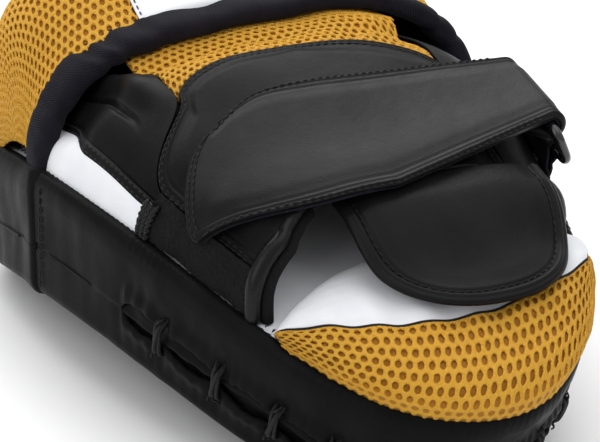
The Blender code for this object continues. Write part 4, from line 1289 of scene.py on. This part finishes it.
def cushion_grid(first, last, rows, columns, lift=0.0):
    """Grid over the cushion: first and last are 0 at the hand, 1 at the cover's seam, 2 at the rim."""
    s = np.sin(span(-1, 1, columns) * math.pi / 2 * 0.985)
    u = 0.0615 * s * (1 + 0.08 * np.maximum(s, 0))
    far = cushion_far(u)
    inner, seam, outer = cushion_edges(u, far)
    t = span(first, last, rows)[:, None]
    v = np.where(t < 1, inner + (seam - inner) * t, seam + (outer - seam) * (t - 1))
    uu = np.broadcast_to(u, v.shape)
    height, part, share = cushion_shape(uu, v, far)
    overhang = 0.0055 * far * np.sin(part * math.pi) ** 0.6 * share
    return bend(uu + overhang, v, height + lift), uu, np.broadcast_to(t, v.shape)


def make_cushion(trees):
    """Cushion: leather cover, mesh and its backing, and ticks of thread along their seam."""
    for name, first, last in (("cover", 0.0, 1.03), ("net", 0.965, 2.0)):
        p, u, t = cushion_grid(first, last, 90, 150)
        d = puff(p, trees, "cushion", -0.002, 0.003)
        d -= 0.0007 * hump(t, 1.0, 0.14)
        ripple = np.sin(u * 2 * math.pi / 0.0165 + 2.5 * noise(p, 0.03, 41))
        d += 0.00070 * ripple * hump(t, 0.93, 0.60)
        d += 0.0009 * noise(p, 0.025, 40)
        p = push(p, d)
        if name == "cover":
            grid("cushion_leather", p, WHITE, "mitt", ["wrist_cushion_cover", "wrist_cushion_foam"],
                 thick=0.0010)
            cover = p
        else:
            fuller = 0.0026 * smooth((t - 1.4) / 0.3) * hump(u, 0.02, 0.055)
            d = -0.0004 * (1 - smooth((t - 0.98) / 0.05)) + fuller - 0.0012 * smooth((t - 1.93) / 0.07)
            p = push(p, d)
            net("cushion_net", Chart(p), GOLD, "mitt", ["wrist_cushion_mesh"], pitch=0.0038)
            low = -0.0010 + 0.0008 * smooth((t - 1.85) / 0.10)
            grid("cushion_backing", push(p, low)[1::2, ::2], UNDER, "mitt", (), thick=0.0006)
    ticks = []
    both = resample(np.concatenate([cover[-1], normals(cover)[-1]], 1), 0.0034)
    way = unit(cover[-6] - cover[-1]).mean(0) * 0.0016
    for q in both:
        path = np.stack([q[:3] - way * 0.3, q[:3] + way * 0.4, q[:3] + way])
        ticks.append((path, np.tile(q[3:], (3, 1))))
    sew("cushion_thread", ticks, "mitt", 0.0017, 0.0014, 0.00022)


# ------------------------------------------------------------------ strap, ring, tab, flap

def strap_v(a, s):
    """v of the strap at angle a; s runs from -1 to 1 across its width."""
    start = STRAP_START + STRAP_SLANT * s
    t = (a - start) / (STRAP_STOP - start)
    return STRAP_V + 0.003 * t + (0.0155 + 0.0125 * smooth(t / 0.8)) * s


def strap_points(side, lift):
    """Lines along the strap, from its loose end to its tail under the ring's bar."""
    rows = []
    for s in side:
        corner = max(abs(s) - 0.55, 0.0) / 0.45
        end = STRAP_START + STRAP_SLANT * s + 6.5 * (1 - math.sqrt(max(1 - corner * corner, 0.0)))
        a = span(end, STRAP_STOP, 120)
        near = glove(a, strap_v(a, s), -lift)
        inner = RING_WIRE + 0.0005 + (lift - 0.002)
        angle = span(0, math.pi, 24)
        fold = in_ring(inner * np.sin(angle), 0.024 * s, inner * np.cos(angle))
        tail = in_ring(np.array([-0.011]), 0.024 * s, np.array([0.0042 - inner]))
        m = span(0, 1, 40)[1:-1, None]
        middle = near[-1] * (1 - m) + fold[0] * m
        rows.append(np.concatenate([near, middle, fold, tail]))
    return np.array(rows)


STRAP_IN = np.array([0.0, -0.03, 0.02])


def make_strap():
    """Strap in one length, and the hook patch."""
    side = np.sin(span(-1, 1, 70) * math.pi / 2 * 0.98) / math.sin(math.pi / 2 * 0.98)
    outer = strap_points(side, 0.0053)
    length = arc(outer, 1)
    width = arc(outer, 0)
    edge = np.minimum(np.minimum(width, width[-1:] - width), length)
    d = 0.0003 - 0.0012 * (1 - smooth(edge / 0.0012)) + 0.0005 * smooth((edge - 0.0056) / 0.006)
    for q in STRAP_ROWS:
        d -= 0.0004 * hump(edge, q, 0.0010)
    d += 0.0005 * noise(outer, 0.035, 50) * smooth(edge / 0.004)
    ripple = np.sin(length * 2 * math.pi / 0.016 + 3 * noise(outer, 0.02, 51))
    d += 0.00022 * ripple * hump(length, 0.012, 0.024) * smooth(edge / 0.006)
    p = push(outer, d, STRAP_IN)
    cover = grid("strap_leather", p, BLACK_UV, None, ["strap_cover", "strap_tip_cover"],
                 thick=0.0016, inside=STRAP_IN)
    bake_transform(cover)
    lines = []
    total = length.shape[1] - 1
    stop = int(total * 0.86)
    for q in STRAP_ROWS:
        for sign in (1, -1):
            first = int(np.argmax(length[0 if sign > 0 else -1] > q))
            columns = np.arange(first, stop) / total
            w_total = np.interp(columns * total, np.arange(total + 1), width[-1])
            f = q / w_total
            lines.append(seam_line(p, f if sign > 0 else 1 - f, columns, 0.0, STRAP_IN))
        rows = span(q / 0.031, 1 - q / 0.031, 80)
        reach = np.interp(rows * (len(p) - 1), np.arange(len(p)), length[:, 30]) / 30
        lines.append(seam_line(p, rows, q / reach / total, 0.0, STRAP_IN))
    thread = sew("strap_thread", lines, None)
    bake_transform(thread)
    inner = strap_points(side * 0.985, 0.0034)
    under = grid("strap_webbing", inner[:, 4:], WEB, None, ["strap_lining", "strap_tip_lining"],
                 thick=0.0012, inside=STRAP_IN)
    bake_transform(under)
    hook = []
    for f in side * 0.8:
        a = span(STRAP_START + 3 + STRAP_SLANT * f, 59, 60)
        hook.append(glove(a, strap_v(a, f), -0.0018))
    hook = np.array(hook)
    hook = push(hook, 0.0002 * noise(hook, 0.0012, 52), STRAP_IN)
    grid("hook_tape", hook, HOOK, "strap_tip", ["hook_patch"], thick=0.0010, inside=STRAP_IN)


def make_ring():
    """Rectangular ring of round plastic bar with rounded corners."""
    corner = 0.0045
    low = np.array([RING_LEAN, 0, -RING_DROP])
    long = np.linalg.norm(low)
    down = low / long
    path = []
    for quarter, (y, d) in enumerate(((RING_HALF - corner, corner), (RING_HALF - corner, long - corner),
                                      (corner - RING_HALF, long - corner), (corner - RING_HALF, corner))):
        for t in span(0, math.pi / 2, 10):
            turn = t + math.pi / 2 * (quarter - 1)
            q = down * (d + corner * math.sin(turn))
            path.append(in_ring(q[0], y + corner * math.cos(turn), q[2]))
    path = np.array(path)
    dense = []
    for a, b in zip(path, np.roll(path, -1, 0)):
        count = max(1, int(np.linalg.norm(b - a) / 0.0015))
        dense += [a + (b - a) * i / count for i in range(count)]
    _, ex, ey, ez = ring_frame()
    up = np.cross(down @ np.array([ex, ey, ez]), ey)
    mesh = tube_mesh("ring_moulding", np.array(dense), RING_WIRE, PLASTIC, 18, up, closed=True)
    add("ring_moulding", mesh, "ring", ["ring"])


def make_tab():
    """Web tab round the ring's lower bar, its two legs sewn down on the glove."""
    radius = RING_WIRE + 0.0005 + 0.0012
    rows = []
    for y in span(-0.017, 0.017, 40):
        v = RING_V + y * math.cos(RING_SKEW)
        legs = [glove(a, v, -c) for a, c in ((170, 0.0006), (167, 0.0020), (164, 0.0030), (161, 0.0034))]
        t = span(-0.35, math.pi + 0.35, 24)
        loop = in_ring(RING_LEAN + np.cos(t) * radius, np.full(24, y), -RING_DROP + np.sin(t) * radius)
        inner = [glove(a, v, -0.0002) for a in (161, 164, 167, 170)]
        rows.append(np.concatenate([legs, loop, inner]))
    fine = []
    for row in rows:
        d = distance(row)
        fine.append(sample(np.linspace(0, d[-1], 90), d, row))
    grid("ring_tab_web", np.array(fine), WEB, "mitt", ["ring_tab"], thick=0.0011,
         inside=in_ring(RING_LEAN, 0.0, -RING_DROP))


def flap_height(u, v):
    """The flap hangs from its root and comes to rest on the cushion."""
    along = (FLAP_HINGE_V - v) / FLAP_LENGTH
    across = (u - FLAP_U) / FLAP_HALF
    hanging = 0.0335 - 0.0145 * smooth(along * 1.25) - 0.004 * across * across
    resting = cushion_shape(u, v)[0] + 0.0034 + 0.0045 * cushion_far(u)
    return (hanging + resting + np.sqrt((hanging - resting) ** 2 + 0.0040 ** 2)) / 2


def flap_edge(t, inset):
    """Edge of the flap; t runs from 0 at its near root round to 1 at its far root."""
    root = MOUTH_V - 0.001
    straight = 0.12
    side = np.clip(np.minimum(t, 1 - t) / straight, 0, 1)
    angle = np.clip((t - straight) / (1 - 2 * straight), 0, 1) * math.pi
    c = -np.cos(angle)
    reach = np.where(c < 0, FLAP_HALF, FLAP_HALF - 0.0045) - inset
    u = FLAP_U + reach * power(c, 2 / 2.45)
    v = FLAP_HINGE_V - (FLAP_LENGTH - inset) * np.abs(np.sin(angle)) ** (2 / 2.45)
    v = np.where(side < 1, root + (FLAP_HINGE_V - root) * side, v)
    return u, v


def make_flap():
    """Leather flap with a thick turned edge, one skin running on into its root."""
    inside = np.array([0.0, -0.05, 0.02])
    half_thick = 0.0015
    t = span(0, 1, 260)
    eu, ev = flap_edge(t, half_thick)
    cu = np.full(t.shape, FLAP_U)
    cv = np.maximum(ev, FLAP_HINGE_V - 0.004)
    rows = []
    for r in 1 - (1 - span(0, 1, 70)) ** 1.5:
        rows.append((r, 0.0, half_thick))
    for a in (30, 60, 90, 120, 150):
        rows.append((1.0, half_thick * math.sin(math.radians(a)), half_thick * math.cos(math.radians(a))))
    for r in 1 - span(0, 1, 30) ** 1.5:
        rows.append((r, 0.0, -half_thick))
    out = unit(np.stack([eu - cu, ev - cv], -1))
    grids = []
    for r, outwards, lift in rows:
        u = cu + (eu - cu) * r + out[:, 0] * outwards
        v = cv + (ev - cv) * r + out[:, 1] * outwards
        edge = np.linalg.norm(np.stack([eu - cu, ev - cv], -1), axis=-1) * (1 - r)
        w = flap_height(u, v) + lift - half_thick
        if lift > 0:
            w = w + 0.0006 * hump(edge, 0.0014, 0.0014) - 0.0007 * hump(edge, 0.0036, 0.0013)
            w = w + 0.0004 * smooth((edge - 0.005) / 0.006)
        p = bend(u, v, w)
        w = w + 0.0013 * noise(p, 0.030, 60) * smooth(edge / 0.010)
        grids.append(bend(u, v, w))
    p = np.array(grids)
    start = bend(FLAP_U, FLAP_HINGE_V + 0.004, 0.0335)
    end = bend(FLAP_U, FLAP_HINGE_V - 0.007, 0.0315)
    top = p[:70]
    flap = grid("flap_leather", p, BLACK_UV, None, ["wrist_flap", "wrist_flap_lining", "wrist_flap_root"],
                thick=0, inside=inside, weld=0.00002, uv=p[..., :2])
    mend(flap.data, outward=True)
    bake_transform(flap)
    columns = span(0.06, 0.94, 400)
    reach = np.linalg.norm(np.stack([eu - cu, ev - cv], -1), axis=-1)
    size = np.interp(columns, t, reach)
    share = 1 - FLAP_ROW / size
    row = 1 - (1 - share) ** (1 / 1.5)
    line = seam_line(top, row, columns, 0.0001, inside)
    normal = line[1] * np.sign(np.sum(line[1] * UP, axis=-1))[:, None]
    thread = sew("flap_thread", [(line[0], normal)], None)
    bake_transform(thread)


# ------------------------------------------------------------------ simulation

def near_edges(points, edges, size):
    """1 for points near any of the edge lines, falling to 0 further than size away."""
    flat = np.concatenate(edges)
    out = np.zeros(len(points))
    for i, q in enumerate(points):
        out[i] = np.min(np.linalg.norm(flat - q, axis=1))
    return 1 - smooth((out - size * 0.4) / size)


def simulate_all():
    """Inflate the cushion, the hood and the glove as padded forms."""
    trees = {}
    p, _, _ = cushion_grid(0.0, 2.0, 60, 60, -0.0008)
    edges = [p[0], p[-1], p[:, 0], p[:, -1], p[29]]
    trees["cushion"] = simulate("cushion_sim", p, 0.009, lambda q: near_edges(q, edges, 0.006), 5.0, 0.004)
    a, o = lattice(span(4, 176, 90), span(0, 86, 60))
    h = hood(a, o, 0.0, BINDING)
    rows = [h[:, 0], h[:, -1], h[0], h[-1], h[int(58 / 172 * 89)], h[int(114 / 172 * 89)]]
    trees["hood"] = simulate("hood_sim", h, 0.009, lambda q: near_edges(q, rows, 0.006), 5.0, 0.004)
    a, s = lattice(span(6, 174, 90), span(0, 1, 60))
    v = mouth_v(a) + (FRONT_V - mouth_v(a)) * s
    g = glove(a, v)
    border = [g[:, 0], g[:, -1], g[0], g[-1]]
    trees["glove"] = simulate("glove_sim", g, 0.008, lambda q: near_edges(q, border, 0.005), 4.0, 0.003)
    return trees


def leftovers():
    """Materials for CAD nodes that stay: the foam inside the pad."""
    for node in ("foam_back_layer", "foam_core", "foam_strike_layer"):
        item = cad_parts[node]
        if not item.material_slots:
            item.data.materials.append(FOAM)
        for place in item.material_slots:
            place.material = FOAM


camera()
studio()
TREES = simulate_all()
make_pad()
make_walls()
make_rim_thread()
make_tongue()
make_ties()
make_hood(TREES)
make_binding()
make_glove(TREES)
make_piping()
make_cushion(TREES)
make_strap()
make_ring()
make_tab()
make_flap()
leftovers()
